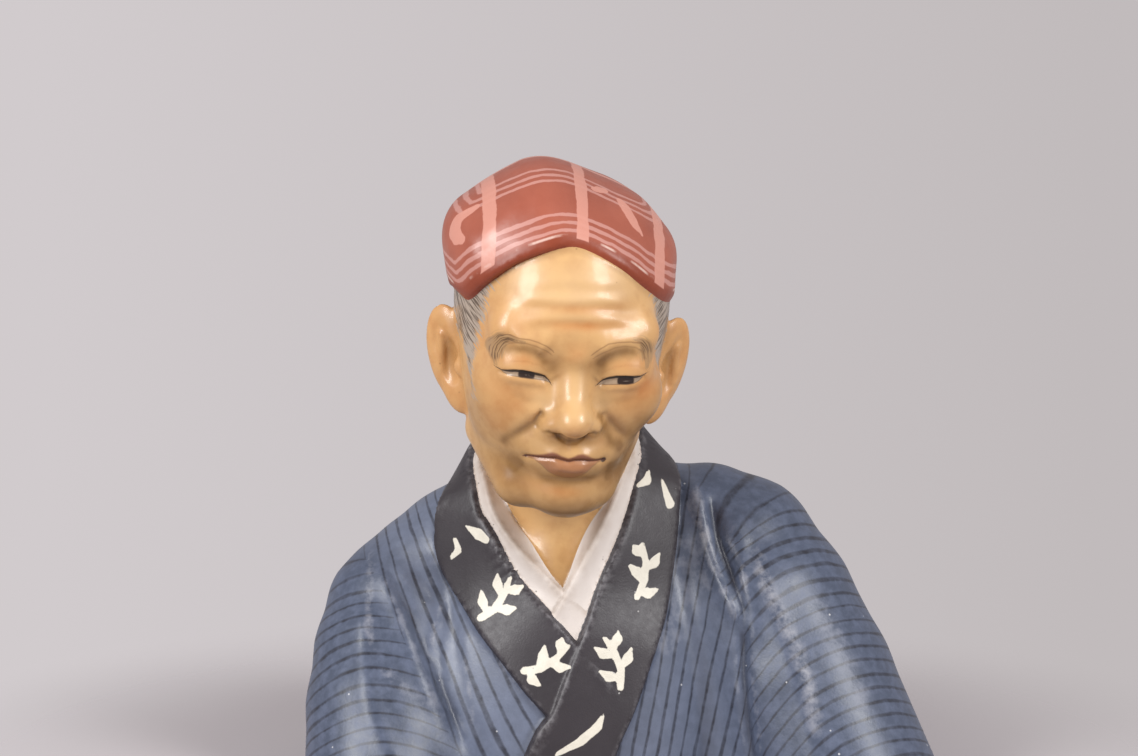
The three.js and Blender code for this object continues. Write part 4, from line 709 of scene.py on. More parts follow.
# where handling has rubbed the blue, and painted highlights on the chest and sleeves: points, width,
# strength
RUBS_AND_HIGHLIGHTS = [
    ([(25, 56), (25.5, 46), (23, 36), (19, 26)], 4.5, 0.42),
    ([(40, 54), (42.2, 45.3), (45.9, 37.9), (50.3, 27.9), (52.2, 18.6), (53.4, 10.5)], 1.7, 0.8),
    ([(50.9, 42.8), (56.5, 34.1), (62.1, 21.7), (65.2, 15.5)], 2.8, 0.4),
    ([(29.1, 52), (29.6, 46), (30.6, 40.4)], 1.8, 0.4),
    ([(26, 62), (28.6, 56), (31.4, 49)], 0.9, 0.5),
    ([(-42, 49.9), (-42.2, 39.8), (-41.4, 31.8), (-39.7, 27.9)], 1.0, 0.6),
    ([(-39.7, 27.9), (-34.9, 23.4), (-30.9, 20.5), (-27, 17.2)], 1.2, 0.45),
    ([(-26.5, 38.6), (-28.1, 34.1), (-28.6, 29)], 0.45, 0.8),
    ([(-21.9, 29.6), (-20.2, 20.5), (-19.6, 13)], 0.6, 0.6),
    ([(-16.8, 32.4), (-10.6, 23.9), (-4.4, 17.7)], 0.8, 0.4),
    ([(-27, 56), (-28.4, 47), (-29.8, 40)], 1.4, 0.3),
]


def down_sleeve(p, nodes, outward, lean, droop):
    """How far down a sleeve a stripe passes: square across it at each bend, then leant and drooped."""
    axis = curve([node[:3] for node in nodes], 3)
    axis = np.concatenate([[axis[0] * 9 - axis[1] * 8], axis, [axis[-1] * 9 - axis[-2] * 8]])
    ahead = np.gradient(axis, axis=0)
    ahead /= length(ahead)[:, None]
    spot = np.concatenate([[0], np.cumsum(length(axis[1:] - axis[:-1]))])
    passed = p @ ahead.T - (axis * ahead).sum(1)
    found, nearest = np.zeros(len(p)), np.full(len(p), 1e9)
    for i in range(len(axis) - 1):
        t = passed[:, i] / np.maximum(passed[:, i] - passed[:, i + 1], 1e-9)
        middle = axis[i] + np.clip(t, 0, 1)[:, None] * (axis[i + 1] - axis[i])
        far = length(p - middle)
        closer = (passed[:, i] >= 0) & (passed[:, i + 1] < 0) & (far < nearest)
        side = ahead[i] + np.clip(t, 0, 1)[:, None] * (ahead[i + 1] - ahead[i])
        off = outward * ((p[:, 2] - middle[:, 2]) * side[:, 0] - (p[:, 0] - middle[:, 0]) * side[:, 2])
        reach = spot[i] + t * (spot[i + 1] - spot[i]) + lean * off - droop * off * off
        found, nearest = np.where(closer, reach, found), np.where(closer, far, nearest)
    return found


def jacket_maps(p):
    """Which stripe passes where, on the body and the sleeves, and where paint is rubbed and highlight
    painted.
    """
    x, y, z = p.T
    down = (58 - z) * ease(20, 4, y)
    left = x < -3
    ruled = np.where(left, (x - 0.896 * down) / (1 + 0.012 * down), x + 0.18 * down) / PITCH
    far_l, _, side_l = line(x, z, ARMHOLE_L)
    far_r, _, side_r = line(x, z, ARMHOLE_R)
    ringed = np.where(left, down_sleeve(p, SLEEVE_L, -1, 0.05, 0.02) / PITCH,
                      down_sleeve(p, SLEEVE_R, 1, 0.31, 0.019) / (PITCH + 0.25))
    rubbed = np.zeros(len(p))
    for points, wide, strength in RUBS_AND_HIGHLIGHTS:
        streak = stroke(x, z, curve(points, 3), strength, wide, (0, 0.15, 0.8, 1))
        rubbed = np.maximum(rubbed, streak)
    return {"ruled": ruled, "ringed": ringed, "seam": np.where(left, far_l * side_l, -far_r * side_r),
            "rubbed": rubbed * ease(8, 0, y)}


def jacket_paint():
    """Slate-blue pigment, dabbed on, lightly polished; thin hand-ruled stripes; rubbed folds; painted light
    and shade.
    """
    made, tree, shader, at, place = new_paint("polished_slate_blue_pigment_on_clay",
                                              ("ruled", "ringed", "seam", "rubbed", "worn_and_shaded"))
    mist = add(tree, "TexNoise", {"Vector": place, "Scale": 1000 / 14, "Detail": 4.0}, out="Fac")
    dabs = add(tree, "TexNoise",
               {"Vector": place, "Scale": 1000 / 2.4, "Detail": 5.0, "Roughness": 0.6}, out="Fac")
    grain = add(tree, "TexNoise", {"Vector": place, "Scale": 1000 / 0.5, "Detail": 3.0}, out="Fac")
    tone = add(tree, "Mix", {0: mist, 6: linear("#3F4757"), 7: linear("#525B70")}, data_type="RGBA", out=2)
    tone = lay(tree, tone, "#5E677D", dabs, 0.4, 0.66, 0.7)
    # the chest made paler: its paint handled and dusty, and a painted highlight for the light it catches
    tone = lay(tree, tone, "#858DA0", at["seam"], -1.0, 7.0, 0.38)
    # the stripe nearest, on the body or on the sleeve; each stripe's own luck sets its place and width
    on_sleeve = add(tree, "Math", {0: at["seam"], 1: 0.0}, operation="LESS_THAN")
    count = add(tree, "Mix", {0: on_sleeve, 2: at["ruled"], 3: at["ringed"]})
    count = add(tree, "Math", {0: dabs, 1: 0.12, 2: count}, operation="MULTIPLY_ADD")
    count = add(tree, "Math", {0: mist, 1: 0.45, 2: count}, operation="MULTIPLY_ADD")
    number = add(tree, "Math", {0: count}, operation="FLOOR")
    number = add(tree, "Math", {0: on_sleeve, 1: 50.0, 2: number}, operation="MULTIPLY_ADD")
    luck = add(tree, "TexWhiteNoise", {"W": number}, noise_dimensions="1D", out="Value")
    across = add(tree, "Math", {0: count}, operation="FRACT")
    middle = add(tree, "Math", {0: luck, 1: -0.16, 2: -0.42}, operation="MULTIPLY_ADD")
    across = add(tree, "Math", {0: across, 1: middle})
    across = add(tree, "Math", {0: across}, operation="ABSOLUTE")
    half = add(tree, "MapRange", {0: luck, 1: 0.0, 2: 1.0, 3: 0.08, 4: 0.14})
    away = add(tree, "Math", {0: at["seam"]}, operation="ABSOLUTE")
    taper = add(tree, "MapRange", {0: away, 1: 0.0, 2: 5.0, 3: 0.35, 4: 1.0})
    pressed = add(tree, "MapRange", {0: mist, 1: 0.35, 2: 0.65, 3: 0.65, 4: 1.2})
    half = add(tree, "Math", {0: half, 1: taper}, operation="MULTIPLY")
    half = add(tree, "Math", {0: half, 1: pressed}, operation="MULTIPLY")
    edge = add(tree, "Math", {0: half, 1: across}, operation="SUBTRACT")
    stripe = add(tree, "MapRange", {0: edge, 1: -0.05, 2: 0.05, 3: 0.0, 4: 1.0})
    dry = add(tree, "MapRange", {0: dabs, 1: 0.3, 2: 0.62, 3: 0.9, 4: 0.5})
    stripe = add(tree, "Math", {0: stripe, 1: dry}, operation="MULTIPLY")
    tone = add(tree, "Mix", {0: stripe, 6: tone, 7: linear("#24242C")}, data_type="RGBA", out=2)
    # painted shade in the folds, then the rubbed ridges and the painted highlights
    tone = lay(tree, tone, "#272935", at["worn_and_shaded"], -0.02, -0.3, 0.75)
    ridge = add(tree, "MapRange", {0: at["worn_and_shaded"], 1: 0.03, 2: 0.16, 3: 0.0, 4: 0.55})
    paler = add(tree, "Math", {0: at["rubbed"], 1: ridge}, operation="ADD")
    broken = add(tree, "MapRange", {0: dabs, 1: 0.38, 2: 0.66, 3: 0.15, 4: 1.0})
    paler = add(tree, "Math", {0: paler, 1: broken}, operation="MULTIPLY")
    tone = lay(tree, tone, "#A7A7AC", paler, 0.1, 0.75, 0.6)
    chips = add(tree, "TexVoronoi", {"Vector": place, "Scale": 1000 / 5.5}, out="Distance")
    tone = lay(tree, tone, "#C9C9CB", chips, 0.05, 0.035, 0.8)
    gloss = add(tree, "MapRange", {0: dabs, 1: 0.3, 2: 0.7, 3: 0.34, 4: 0.46})
    relief = add(tree, "Math", {0: dabs, 1: 2.0, 2: grain}, operation="MULTIPLY_ADD")
    brushed = add(tree, "Bump", {"Height": relief, "Strength": 0.5, "Distance": 0.00005})
    give(shader, {"Base Color": tone, "Roughness": gloss, "Normal": brushed})
    return made


# The collars
# A broad dark neckband crossed left over right on the chest, and a white under-collar showing inside it.
# Both are flat strips moulded on the body, one near black, the other chalk white.
COLLAR_T = 1.15       # half the dark collar's thickness
UNDER_T = 0.85        # half the white one's
TUCK, TUCK_DOWN = 3.2, 2.0   # how far the white collar runs in beneath the dark one, and how much lower
COLLAR_BED = 3.5      # how much deeper the collars reach in toward the body
COLLAR_REACH = 6.0    # past this, a collar's distance is taken as this
# each collar's inner edge, and its outer one, from the nape down to the crossing
DARK_R = ([(-1.5, 14, 80), (10.5, 10, 79), (15.8, 2, 75), (16, -5, 68.9), (15, -10.5, 64.1),
           (11.9, -16.5, 54.5), (7.6, -20.3, 43.2), (4.6, -23.2, 36), (2.7, -24.4, 32.2), (-0.8, -26, 23.5),
           (-3.4, -26.7, 16.4), (-6.8, -26.5, 9), (-11.3, -24.9, -2.3)],
          [(-1.5, 22.5, 68.5), (14.5, 18, 68.5), (22, 8.5, 67.2), (24, 0.5, 66.3), (24.6, -5.5, 62.4),
           (23.8, -10.4, 51.3), (22, -14.2, 41.8), (19.8, -19.3, 33), (18, -21.7, 26.9), (14.6, -24.5, 18),
           (11.8, -25.7, 12.7), (9.7, -26.3, 8.9), (5.7, -26.5, -1.8)])
DARK_L = ([(1.5, 14, 80), (-11, 10, 78.5), (-18.3, 2, 73.2), (-20, -1, 69.6), (-19.2, -8.5, 63.8),
           (-17.3, -13.5, 57), (-13.6, -17, 50.7), (-8.5, -18.5, 44.1), (-3.4, -21.7, 38.7),
           (0.8, -23.2, 34.3), (2.7, -23.8, 32.1), (7.4, -24.5, 26.6), (11.6, -24.3, 21.6)],
          [(1.5, 22.5, 68.5), (-14.5, 18, 67), (-22.8, 9.5, 63.4), (-25, 2, 61.6), (-26.9, -5, 59.7),
           (-28, -5.3, 52.5), (-25.7, -8.5, 45.4), (-19.9, -16.1, 36), (-14.9, -20.9, 30.1),
           (-10.2, -23.8, 24.5), (-7.6, -24.8, 21.5), (-2.5, -26.1, 16.2), (2.1, -26.5, 11.4)])
WHITE_R = [(-1.5, 11, 80.5), (8.7, 8, 79.5), (13.2, 0, 75.5), (14.4, -7, 70.3), (11.9, -12.3, 65.7),
           (7.8, -17.5, 57.5), (1.7, -21.2, 46.2), (-1.5, -21.6, 40.4), (-3.4, -20.8, 35.3),
           (-5.3, -20.5, 30)]
WHITE_L = [(1.5, 11, 80.5), (-9.2, 8, 79), (-15.2, 0.5, 75), (-18.4, -3.6, 70.2), (-16.7, -10, 64.5),
           (-14.7, -14.2, 58.7), (-10.8, -17.4, 53.4), (-5.3, -19.8, 48), (0.2, -20.9, 42.7),
           (4.4, -20.9, 38.6), (6.6, -20.6, 36.6)]
STEPS = 5             # points to a span along a collar's edge


class Band:
    """A flat strip between an inner and an outer edge, matching points in step."""
    def __init__(self, inner, outer, half, turn):
        self.half = half
        self.inner, outer = curve(inner, STEPS), curve(outer, STEPS)
        self.middle = (self.inner + outer) / 2
        self.wide = length(self.inner - outer) / 2
        self.across = (self.inner - outer) / self.wide[:, None] / 2
        ahead = np.concatenate([self.middle[1:], self.middle[-1:]])
        ahead -= np.concatenate([self.middle[:1], self.middle[:-1]])
        self.out = turn * np.cross(self.across, ahead)
        self.out /= length(self.out)[:, None]
        edges = np.concatenate([self.inner, outer])
        self.low, self.high = edges.min(0) - COLLAR_REACH, edges.max(0) + COLLAR_REACH

    def under(self, count):
        """The outer edge of the layer beneath, run in under this one."""
        picked = slice(0, count * STEPS, STEPS)
        return self.inner[picked] - self.out[picked] * TUCK_DOWN - self.across[picked] * TUCK

    def at(self, p):
        """Distance from the strip, which is thickened inward by the bed."""
        made = np.full(len(p), COLLAR_REACH)
        here = np.nonzero(((p > self.low) & (p < self.high)).all(1))[0]
        if not len(here):
            return made
        q = p[here]
        c = self.middle
        near = np.argmin((c * c).sum(1) - 2 * q @ c.T, 1)
        best = np.full(len(q), 1e9)
        form = np.full(len(q), COLLAR_REACH)
        for i in (np.clip(near - 1, 0, len(c) - 2), np.clip(near, 0, len(c) - 2)):
            step, from_start = c[i + 1] - c[i], q - c[i]
            reach = (step * step).sum(1)
            t = np.clip((from_start * step).sum(1) / reach, 0, 1)[:, None]
            across = self.across[i] * (1 - t) + self.across[i + 1] * t
            out = self.out[i] * (1 - t) + self.out[i + 1] * t
            wide = self.wide[i] * (1 - t[:, 0]) + self.wide[i + 1] * t[:, 0]
            rest = from_start - t * step
            u = np.abs((rest * across).sum(1)) / length(across)
            v = np.abs((rest * out).sum(1) / length(out) + COLLAR_BED / 2)
            end = np.abs((rest * step).sum(1)) / np.sqrt(reach)
            off = np.maximum(u - wide, 0) ** 2 + v * v + end * end
            rounding = self.half * 0.85
            a, b = u - wide + rounding, v - self.half - COLLAR_BED / 2 + rounding
            outside = np.sqrt(np.maximum(a, 0) ** 2 + np.maximum(b, 0) ** 2 + end ** 2)
            closer = off < best
            best = np.where(closer, off, best)
            form = np.where(closer, outside + np.minimum(np.maximum(a, b), 0) - rounding, form)
        made[here] = np.minimum(form, COLLAR_REACH)
        return made


dark_right = Band(*DARK_R, COLLAR_T, 1)
dark_left = Band(*DARK_L, COLLAR_T * 0.92, -1)
white_right = Band(WHITE_R, dark_right.under(len(WHITE_R)), UNDER_T, 1)
white_left = Band(WHITE_L, dark_left.under(len(WHITE_L)), UNDER_T * 0.9, -1)


def dark_form(p):
    """The dark neckband, its two sides pressed together where they cross."""
    return join(dark_right.at(p), dark_left.at(p), 0.4)


def white_form(p):
    """The two sides of the under-collar."""
    return np.minimum(white_right.at(p), white_left.at(p))


def sprig(place, turn, leaves):
    """A brushed twig: a bent stem and pointed leaves, as tapering strokes seen from the front."""
    strokes = [((-5.2, 0.4), (-1.6, -0.5), 0.75, 0.8), ((-1.6, -0.5), (2.2, 0.1), 0.8, 0.7),
               ((2.2, 0.1), (5.6, 1.5), 0.7, 0.45)]
    for root, belly, tip in leaves:
        strokes += [(root, belly, 0.45, 1.15), (belly, tip, 1.15, 0.3)]
    c, n = math.cos(math.radians(turn)), math.sin(math.radians(turn))
    turned = []
    for *ends, ra, rb in strokes:
        a, b = [(place[0] + u * c - v * n, 0, place[1] + u * n + v * c) for u, v in ends]
        turned.append((a, b, ra, rb))
    return turned


LEAVES_A = [((-3.4, 0.1), (-2.4, 2.2), (-0.9, 3.9)), ((-1.4, -0.4), (0.2, -2.4), (2.0, -3.5)),
            ((1.4, 0.1), (2.6, 2.4), (4.2, 3.9)), ((3.0, 0.4), (4.6, -1.0), (6.2, -1.5))]
LEAVES_B = [((-4.0, 0.3), (-4.2, -1.9), (-3.2, -3.7)), ((-2.2, -0.3), (-0.2, 1.6), (1.0, 3.4)),
            ((0.6, -0.2), (2.2, -1.9), (4.1, -2.5)), ((3.4, 0.6), (4.2, 2.4), (5.0, 3.4))]
MARKS = (sprig((-14.3, 40.4), 48, LEAVES_A) + sprig((-3.8, 28.6), 24, LEAVES_B)
         + sprig((16.8, 46.6), 78, LEAVES_B) + sprig((11.0, 28.6), 102, LEAVES_A)
         + [((x0, 0, z0), (x1, 0, z1), r0, r1) for x0, z0, r0, x1, z1, r1 in (
             (-21.2, 55.6, 0.25, -18.5, 54.3, 1.3), (-18.5, 54.3, 1.3, -17.0, 53.4, 0.9),
             (-23.6, 52.4, 0.5, -22.9, 50.3, 0.75), (-22.9, 50.3, 0.75, -24.6, 48.3, 0.35),
             (17.9, 67.0, 0.35, 17.6, 65.2, 0.95), (17.6, 65.2, 0.95, 15.6, 64.3, 0.4),
             (20.8, 65.0, 0.3, 21.9, 61.8, 0.75), (21.9, 61.8, 0.75, 22.6, 60.0, 0.95),
             (-1.9, 9.5, 0.4, 3.2, 12.3, 0.95), (3.2, 12.3, 0.95, 6.9, 15.4, 0.95),
             (6.9, 15.4, 0.95, 8.0, 17.8, 0.35))])


def collar_maps(p):
    """How near a collar's inner edge is, and the painted twigs."""
    inner = np.full(len(p), 1e9)
    for band in (dark_right, dark_left, white_right, white_left):
        on_band = np.abs(band.at(p)) < 0.5
        inner = np.where(on_band, np.minimum(inner, from_path(p, band.inner)), inner)
    seen = np.stack([p[:, 0], p[:, 0] * 0, p[:, 2]], 1)
    marks = np.full(len(p), 20.0)
    for a, b, ra, rb in MARKS:
        marks = np.minimum(marks, limb(seen, a, b, ra, rb))
    return {"inner": np.minimum(inner, 20), "marks": np.where(p[:, 1] < 4, marks, 20.0),
            "to_dark": dark_form(p)}


def collar_paint():
    """Near-black pigment, scuffed grey on its edges, with cream twigs laid on thickly by brush."""
    made, tree, shader, at, place = new_paint("near_black_pigment_with_cream_twigs",
                                              ("inner", "marks", "worn_and_shaded"))
    mist = add(tree, "TexNoise", {"Vector": place, "Scale": 1000 / 9, "Detail": 4.0}, out="Fac")
    scuff = add(tree, "TexNoise",
                {"Vector": place, "Scale": 1000 / 1.6, "Detail": 5.0, "Roughness": 0.65}, out="Fac")
    grain = add(tree, "TexNoise", {"Vector": place, "Scale": 1000 / 0.4, "Detail": 3.0}, out="Fac")
    tone = add(tree, "Mix", {0: mist, 6: linear("#2B272B"), 7: linear("#3D383C")}, data_type="RGBA", out=2)
    ridge = add(tree, "MapRange", {0: at["worn_and_shaded"], 1: 0.06, 2: 0.3, 3: 0.0, 4: 0.9})
    haze = add(tree, "MapRange", {0: at["inner"], 1: 2.6, 2: 0.6, 3: 0.0, 4: 0.4})
    paler = add(tree, "Math", {0: ridge, 1: haze}, operation="ADD")
    broken = add(tree, "MapRange", {0: scuff, 1: 0.38, 2: 0.66, 3: 0.05, 4: 1.0})
    paler = add(tree, "Math", {0: paler, 1: broken}, operation="MULTIPLY")
    tone = lay(tree, tone, "#8C898C", paler, 0.08, 0.8, 0.6)
    brushed = add(tree, "Math", {0: scuff, 1: 0.5, 2: at["marks"]}, operation="MULTIPLY_ADD")
    over = add(tree, "MapRange", {0: brushed, 1: 0.32, 2: 0.16, 3: 0.0, 4: 1.0})
    cream = add(tree, "Mix", {0: scuff, 6: linear("#CFC9BA"), 7: linear("#F1ECDD")},
                data_type="RGBA", out=2)
    tone = add(tree, "Mix", {0: over, 6: tone, 7: cream}, data_type="RGBA", out=2)
    # painted shade, darker in the hollows
    tone = lay(tree, tone, "#1A1719", at["worn_and_shaded"], -0.1, -0.5, 0.7)
    chips = add(tree, "TexVoronoi", {"Vector": place, "Scale": 1000 / 5.0}, out="Distance")
    tone = lay(tree, tone, "#B9B6B4", chips, 0.045, 0.03, 0.7)
    gloss = add(tree, "MapRange", {0: scuff, 1: 0.3, 2: 0.7, 3: 0.4, 4: 0.52})
    relief = add(tree, "Math", {0: over, 1: 1.5, 2: grain}, operation="MULTIPLY_ADD")
    relief = add(tree, "Math", {0: scuff, 1: 1.5, 2: relief}, operation="MULTIPLY_ADD")
    laid = add(tree, "Bump", {"Height": relief, "Strength": 0.5, "Distance": 0.00005})
    give(shader, {"Base Color": tone, "Roughness": gloss, "Normal": laid})
    return made


def chalk_paint():
    """Dull chalk white in glue; browner by its edges, painted shade in hollows, pitted beside the dark."""
    made, tree, shader, at, place = new_paint("matt_chalk_white_on_clay", ("inner", "to_dark", "worn_and_shaded"))
    mist = add(tree, "TexNoise", {"Vector": place, "Scale": 1000 / 5, "Detail": 4.0}, out="Fac")
    grain = add(tree, "TexNoise", {"Vector": place, "Scale": 1000 / 0.5, "Detail": 3.0}, out="Fac")
    tone = add(tree, "Mix", {0: mist, 6: linear("#CFC5BD"), 7: linear("#E6DDD6")}, data_type="RGBA", out=2)
    near = add(tree, "MapRange", {0: at["inner"], 1: 3.4, 2: 0.2, 3: 0.0, 4: 1.0})
    cloudy = add(tree, "MapRange", {0: mist, 1: 0.35, 2: 0.62, 3: 0.1, 4: 0.75})
    brown = add(tree, "Math", {0: near, 1: cloudy}, operation="MULTIPLY")
    tone = add(tree, "Mix", {0: brown, 6: tone, 7: linear("#A08D7C")}, data_type="RGBA", out=2)
    # painted shade, darker in the hollows
    tone = lay(tree, tone, "#6E5A4A", at["worn_and_shaded"], -0.08, -0.5, 0.7)
    pits = add(tree, "TexVoronoi", {"Vector": place, "Scale": 1000 / 1.7}, out="Distance")
    pitted = add(tree, "MapRange", {0: pits, 1: 0.13, 2: 0.08, 3: 0.0, 4: 0.75})
    beside = add(tree, "MapRange", {0: at["to_dark"], 1: 1.6, 2: 0.9, 3: 0.0, 4: 1.0})
    pitted = add(tree, "Math", {0: pitted, 1: beside}, operation="MULTIPLY")
    tone = add(tree, "Mix", {0: pitted, 6: tone, 7: linear("#4C4038")}, data_type="RGBA", out=2)
    chalky = add(tree, "Bump", {"Height": grain, "Strength": 0.5, "Distance": 0.00005})
    give(shader, {"Base Color": tone, "Roughness": 0.55, "Normal": chalky})
    return made


# The cast
# The fired clay body: the parts run together in one closed skin, as they left the mould, cut flat below.
# A net is laid over the form, drawn tight, cut finer where the brush or the chisel was fine, and cut along
# every colour's edge, so that each paint ends in a clean line.
FORMS = [skin_form, cloth_form, white_form, dark_form, jacket_form]
FILLETS = [0, 0.5, 0.7, 0.9, 1.0]     # how softly each runs into those before it
SKIN, CLOTH, WHITE, DARK, JACKET, BARE = range(6)
NET = 1.25            # spacing of the net
STRAY = 0.05          # how far a net edge may stray from the form
# how fine the net is cut, as edge lengths
FINE = {"eye": 0.3, "face": 0.6, "collar": 0.9, "edge": 0.42, "fold": 0.74, "plain": 1.62}
AT_ONCE = 60000       # points measured together, to spare the memory
BELOW = -3            # the net is laid down to this height, and then cut at the underside


def in_parts(p, forms):
    """Forms measured over many points, some at a time."""
    parts = [p[i:i + AT_ONCE] for i in range(0, len(p), AT_ONCE)]
    return np.concatenate([np.stack([form(part) for form in forms], 1) for part in parts])


def cast(p):
    """Distance from the whole figure's skin."""
    d = None
    for far, fillet in zip(in_parts(p, FORMS).T, FILLETS):
        d = far if d is None else join(d, far, fillet)
    return np.maximum(d, BELOW - p[:, 2])


def lay_net(low, high, h):
    """A net over the form: a point in each cell that its surface crosses, joined square by square."""
    block = 4
    low = np.array(low, float)
    count = np.ceil((np.array(high) - low) / (block * h)).astype(int)
    size = count * block + 1
    value = np.zeros(size)
    value_flat = value.reshape(-1)
    blocks = np.stack(np.meshgrid(*[np.arange(n) for n in count], indexing="ij"), -1).reshape(-1, 3)
    middle = cast(low + (blocks + 0.5) * block * h)
    # the form is measured at the corners of the blocks that its surface may cross, and of those that
    # turn out to be crossed beside them; any other block takes its middle's value
    cube = np.stack(np.meshgrid(*[np.arange(block + 1)] * 3, indexing="ij"), -1).reshape(-1, 3)
    stride = np.array([size[1] * size[2], size[2], 1])
    points = (blocks[:, None] * block + cube[None]) @ stride
    value_flat[points] = middle[:, None]
    near = np.abs(middle) < block * h * 0.87 * 1.25 + 0.6
    known = np.zeros(value_flat.shape, bool)
    todo = near
    while todo.any():
        fresh = np.unique(points[todo])
        fresh = fresh[~known[fresh]]
        at = np.stack([fresh // stride[0], fresh % stride[0] // stride[1], fresh % stride[1]], 1)
        value_flat[fresh] = cast(low + at * h)
        known[fresh] = True
        todo = ~near & ((value_flat[points] < 0) != (middle < 0)[:, None]).any(1)
        near = near | todo
    value_flat[value_flat == 0] = 1e-6
    corner = np.array([[i, j, k] for i in (0, 1) for j in (0, 1) for k in (0, 1)])
    eight = corner @ stride

    def crossed():
        """The cells that have corners on both sides of the surface."""
        inner = value < 0
        total = sum(inner[i:size[0] - 1 + i, j:size[1] - 1 + j, k:size[2] - 1 + k].astype(np.int8)
                    for i, j, k in corner)
        at = np.stack(np.nonzero((total > 0) & (total < 8)), 1)
        return at @ stride

    def fill(groups):
        """Clay goes in at the corner that is nearest to it."""
        if len(groups):
            open_value = np.where(value_flat[groups] >= 0, value_flat[groups], 1e9)
            value_flat[groups[np.arange(len(groups)), open_value.argmin(1)]] = -1e-3
        return len(groups)

    def fill_pockets():
        """A pocket with no way out is solid clay."""
        free = value >= 0
        air = np.zeros(value.shape, bool)
        air[0, 0, 0] = True
        before = 0
        while air.sum() > before:
            before = air.sum()
            for turn in range(3):
                a, f = np.moveaxis(air, turn, 0), np.moveaxis(free, turn, 0)
                for i in range(1, len(a)):
                    a[i] |= a[i - 1] & f[i]
                for i in range(len(a) - 2, -1, -1):
                    a[i] |= a[i + 1] & f[i]
        pocket = free & ~air
        value[pocket] = -1e-3
        return pocket.sum()

    # clay goes in wherever two parts of the surface would meet in an edge or a point alone
    changed = 1
    while changed:
        changed = 0
        cells = crossed()
        for turn in range(3):
            u, v, w = stride[turn], stride[(turn + 1) % 3], stride[(turn + 2) % 3]
            for q in (cells, cells + w):
                s = value_flat[q] < 0
                pinched = (s == (value_flat[q + u + v] < 0)) & (s != (value_flat[q + u] < 0))
                pinched &= s != (value_flat[q + v] < 0)
                q = q[pinched]
                changed += fill(np.stack([q, q + u, q + v, q + u + v], 1))
        inner = value_flat[cells[:, None] + eight] < 0
        total = inner.sum(1)
        for e in range(4):
            alone = ((total == 2) & inner[:, e]) | ((total == 6) & ~inner[:, e])
            lone = (inner[:, e] == inner[:, 7 - e]) & alone
            changed += fill(cells[lone][:, None] + eight)
        if not changed:
            changed = fill_pockets()
    cells = crossed()
    at = np.stack([cells // stride[0], cells % stride[0] // stride[1], cells % stride[1]], 1)
    v = value_flat[cells[:, None] + eight]
    total = np.zeros((len(cells), 3))
    crossings = np.zeros(len(cells))
    for a in range(8):
        for b in range(a + 1, 8):
            if abs(corner[a] - corner[b]).sum() == 1:
                cut = (v[:, a] < 0) != (v[:, b] < 0)
                t = v[cut, a] / (v[cut, a] - v[cut, b])
                total[cut] += corner[a] + (corner[b] - corner[a]) * t[:, None]
                crossings[cut] += 1
    spots = low + (at + total / crossings[:, None]) * h
    name = np.full(value_flat.shape, -1)
    name[cells] = np.arange(len(cells))
    squares = []
    for turn in range(3):
        e, u, v = stride[turn], stride[(turn + 1) % 3], stride[(turn + 2) % 3]
        here = cells[(value_flat[cells] < 0) != (value_flat[cells + e] < 0)]
        square = np.stack([name[here], name[here - u], name[here - u - v], name[here - v]], 1)
        flip = value_flat[here] >= 0
        square[flip] = square[flip][:, ::-1]
        squares.append(square)
    squares = np.concatenate(squares)
    a, b, c, d = squares.T
    short = length(spots[a] - spots[c]) <= length(spots[b] - spots[d])
    halves = [squares[short][:, [0, 1, 2]], squares[short][:, [0, 2, 3]],
              squares[~short][:, [0, 1, 3]], squares[~short][:, [1, 2, 3]]]
    return spots, np.concatenate(halves)


def tighten(p, passes, cap):
    """Points drawn on to the form's surface."""
    for _ in range(passes):
        d = cast(p)
        slope = np.stack([(cast(p + step) - d) / 0.04 for step in np.eye(3) * 0.04], 1)
        move = slope * (d / np.maximum((slope * slope).sum(1), 0.1))[:, None]
        p = p - move * np.minimum(1, cap / np.maximum(length(move), 1e-9))[:, None]
    return p


def edges_of(triangles):
    """Every edge once, and which three edges a triangle has."""
    pairs = np.sort(np.concatenate([triangles[:, [0, 1]], triangles[:, [1, 2]], triangles[:, [2, 0]]]), 1)
    edges, of = np.unique(pairs, axis=0, return_inverse=True)
    return edges, of.reshape(3, -1).T


def cut(p, triangles, edges, of, marked, share):
    """Triangles cut at a point along each marked edge, and the triangle that each came from."""
    fresh = np.full(len(edges), -1)
    fresh[marked] = len(p) + np.arange(marked.sum())
    a, b = p[edges[marked, 0]], p[edges[marked, 1]]
    p = np.concatenate([p, a + (b - a) * share[marked][:, None]])
    has, new = marked[of], fresh[of]
    total = has.sum(1)
    made, source = [triangles[total == 0]], [np.nonzero(total == 0)[0]]
    for i in range(3):
        j, k = (i + 1) % 3, (i + 2) % 3
        pick = np.nonzero((total == 1) & has[:, i])[0]
        t, n = triangles[pick], new[pick]
        made += [np.stack([t[:, i], n[:, i], t[:, k]], 1), np.stack([n[:, i], t[:, j], t[:, k]], 1)]
        source += [pick, pick]
        pick = np.nonzero((total == 2) & ~has[:, i])[0]
        t, n = triangles[pick], new[pick]
        made += [np.stack([t[:, i], t[:, j], n[:, j]], 1), np.stack([t[:, i], n[:, j], n[:, k]], 1),
                 np.stack([n[:, k], n[:, j], t[:, k]], 1)]
        source += [pick, pick, pick]
    pick = np.nonzero(total == 3)[0]
    t, n = triangles[pick], new[pick]
    made += [np.stack([t[:, i], n[:, i], n[:, (i + 2) % 3]], 1) for i in range(3)] + [n]
    return p, np.concatenate(made), np.concatenate(source + [pick] * 4)


def ridges_and_hollows_at(p):
    """+ on the form's ridges, - in its hollows."""
    around = np.concatenate([np.eye(3), -np.eye(3)]) * 1.2
    return sum(cast(p + step) for step in around) / 6


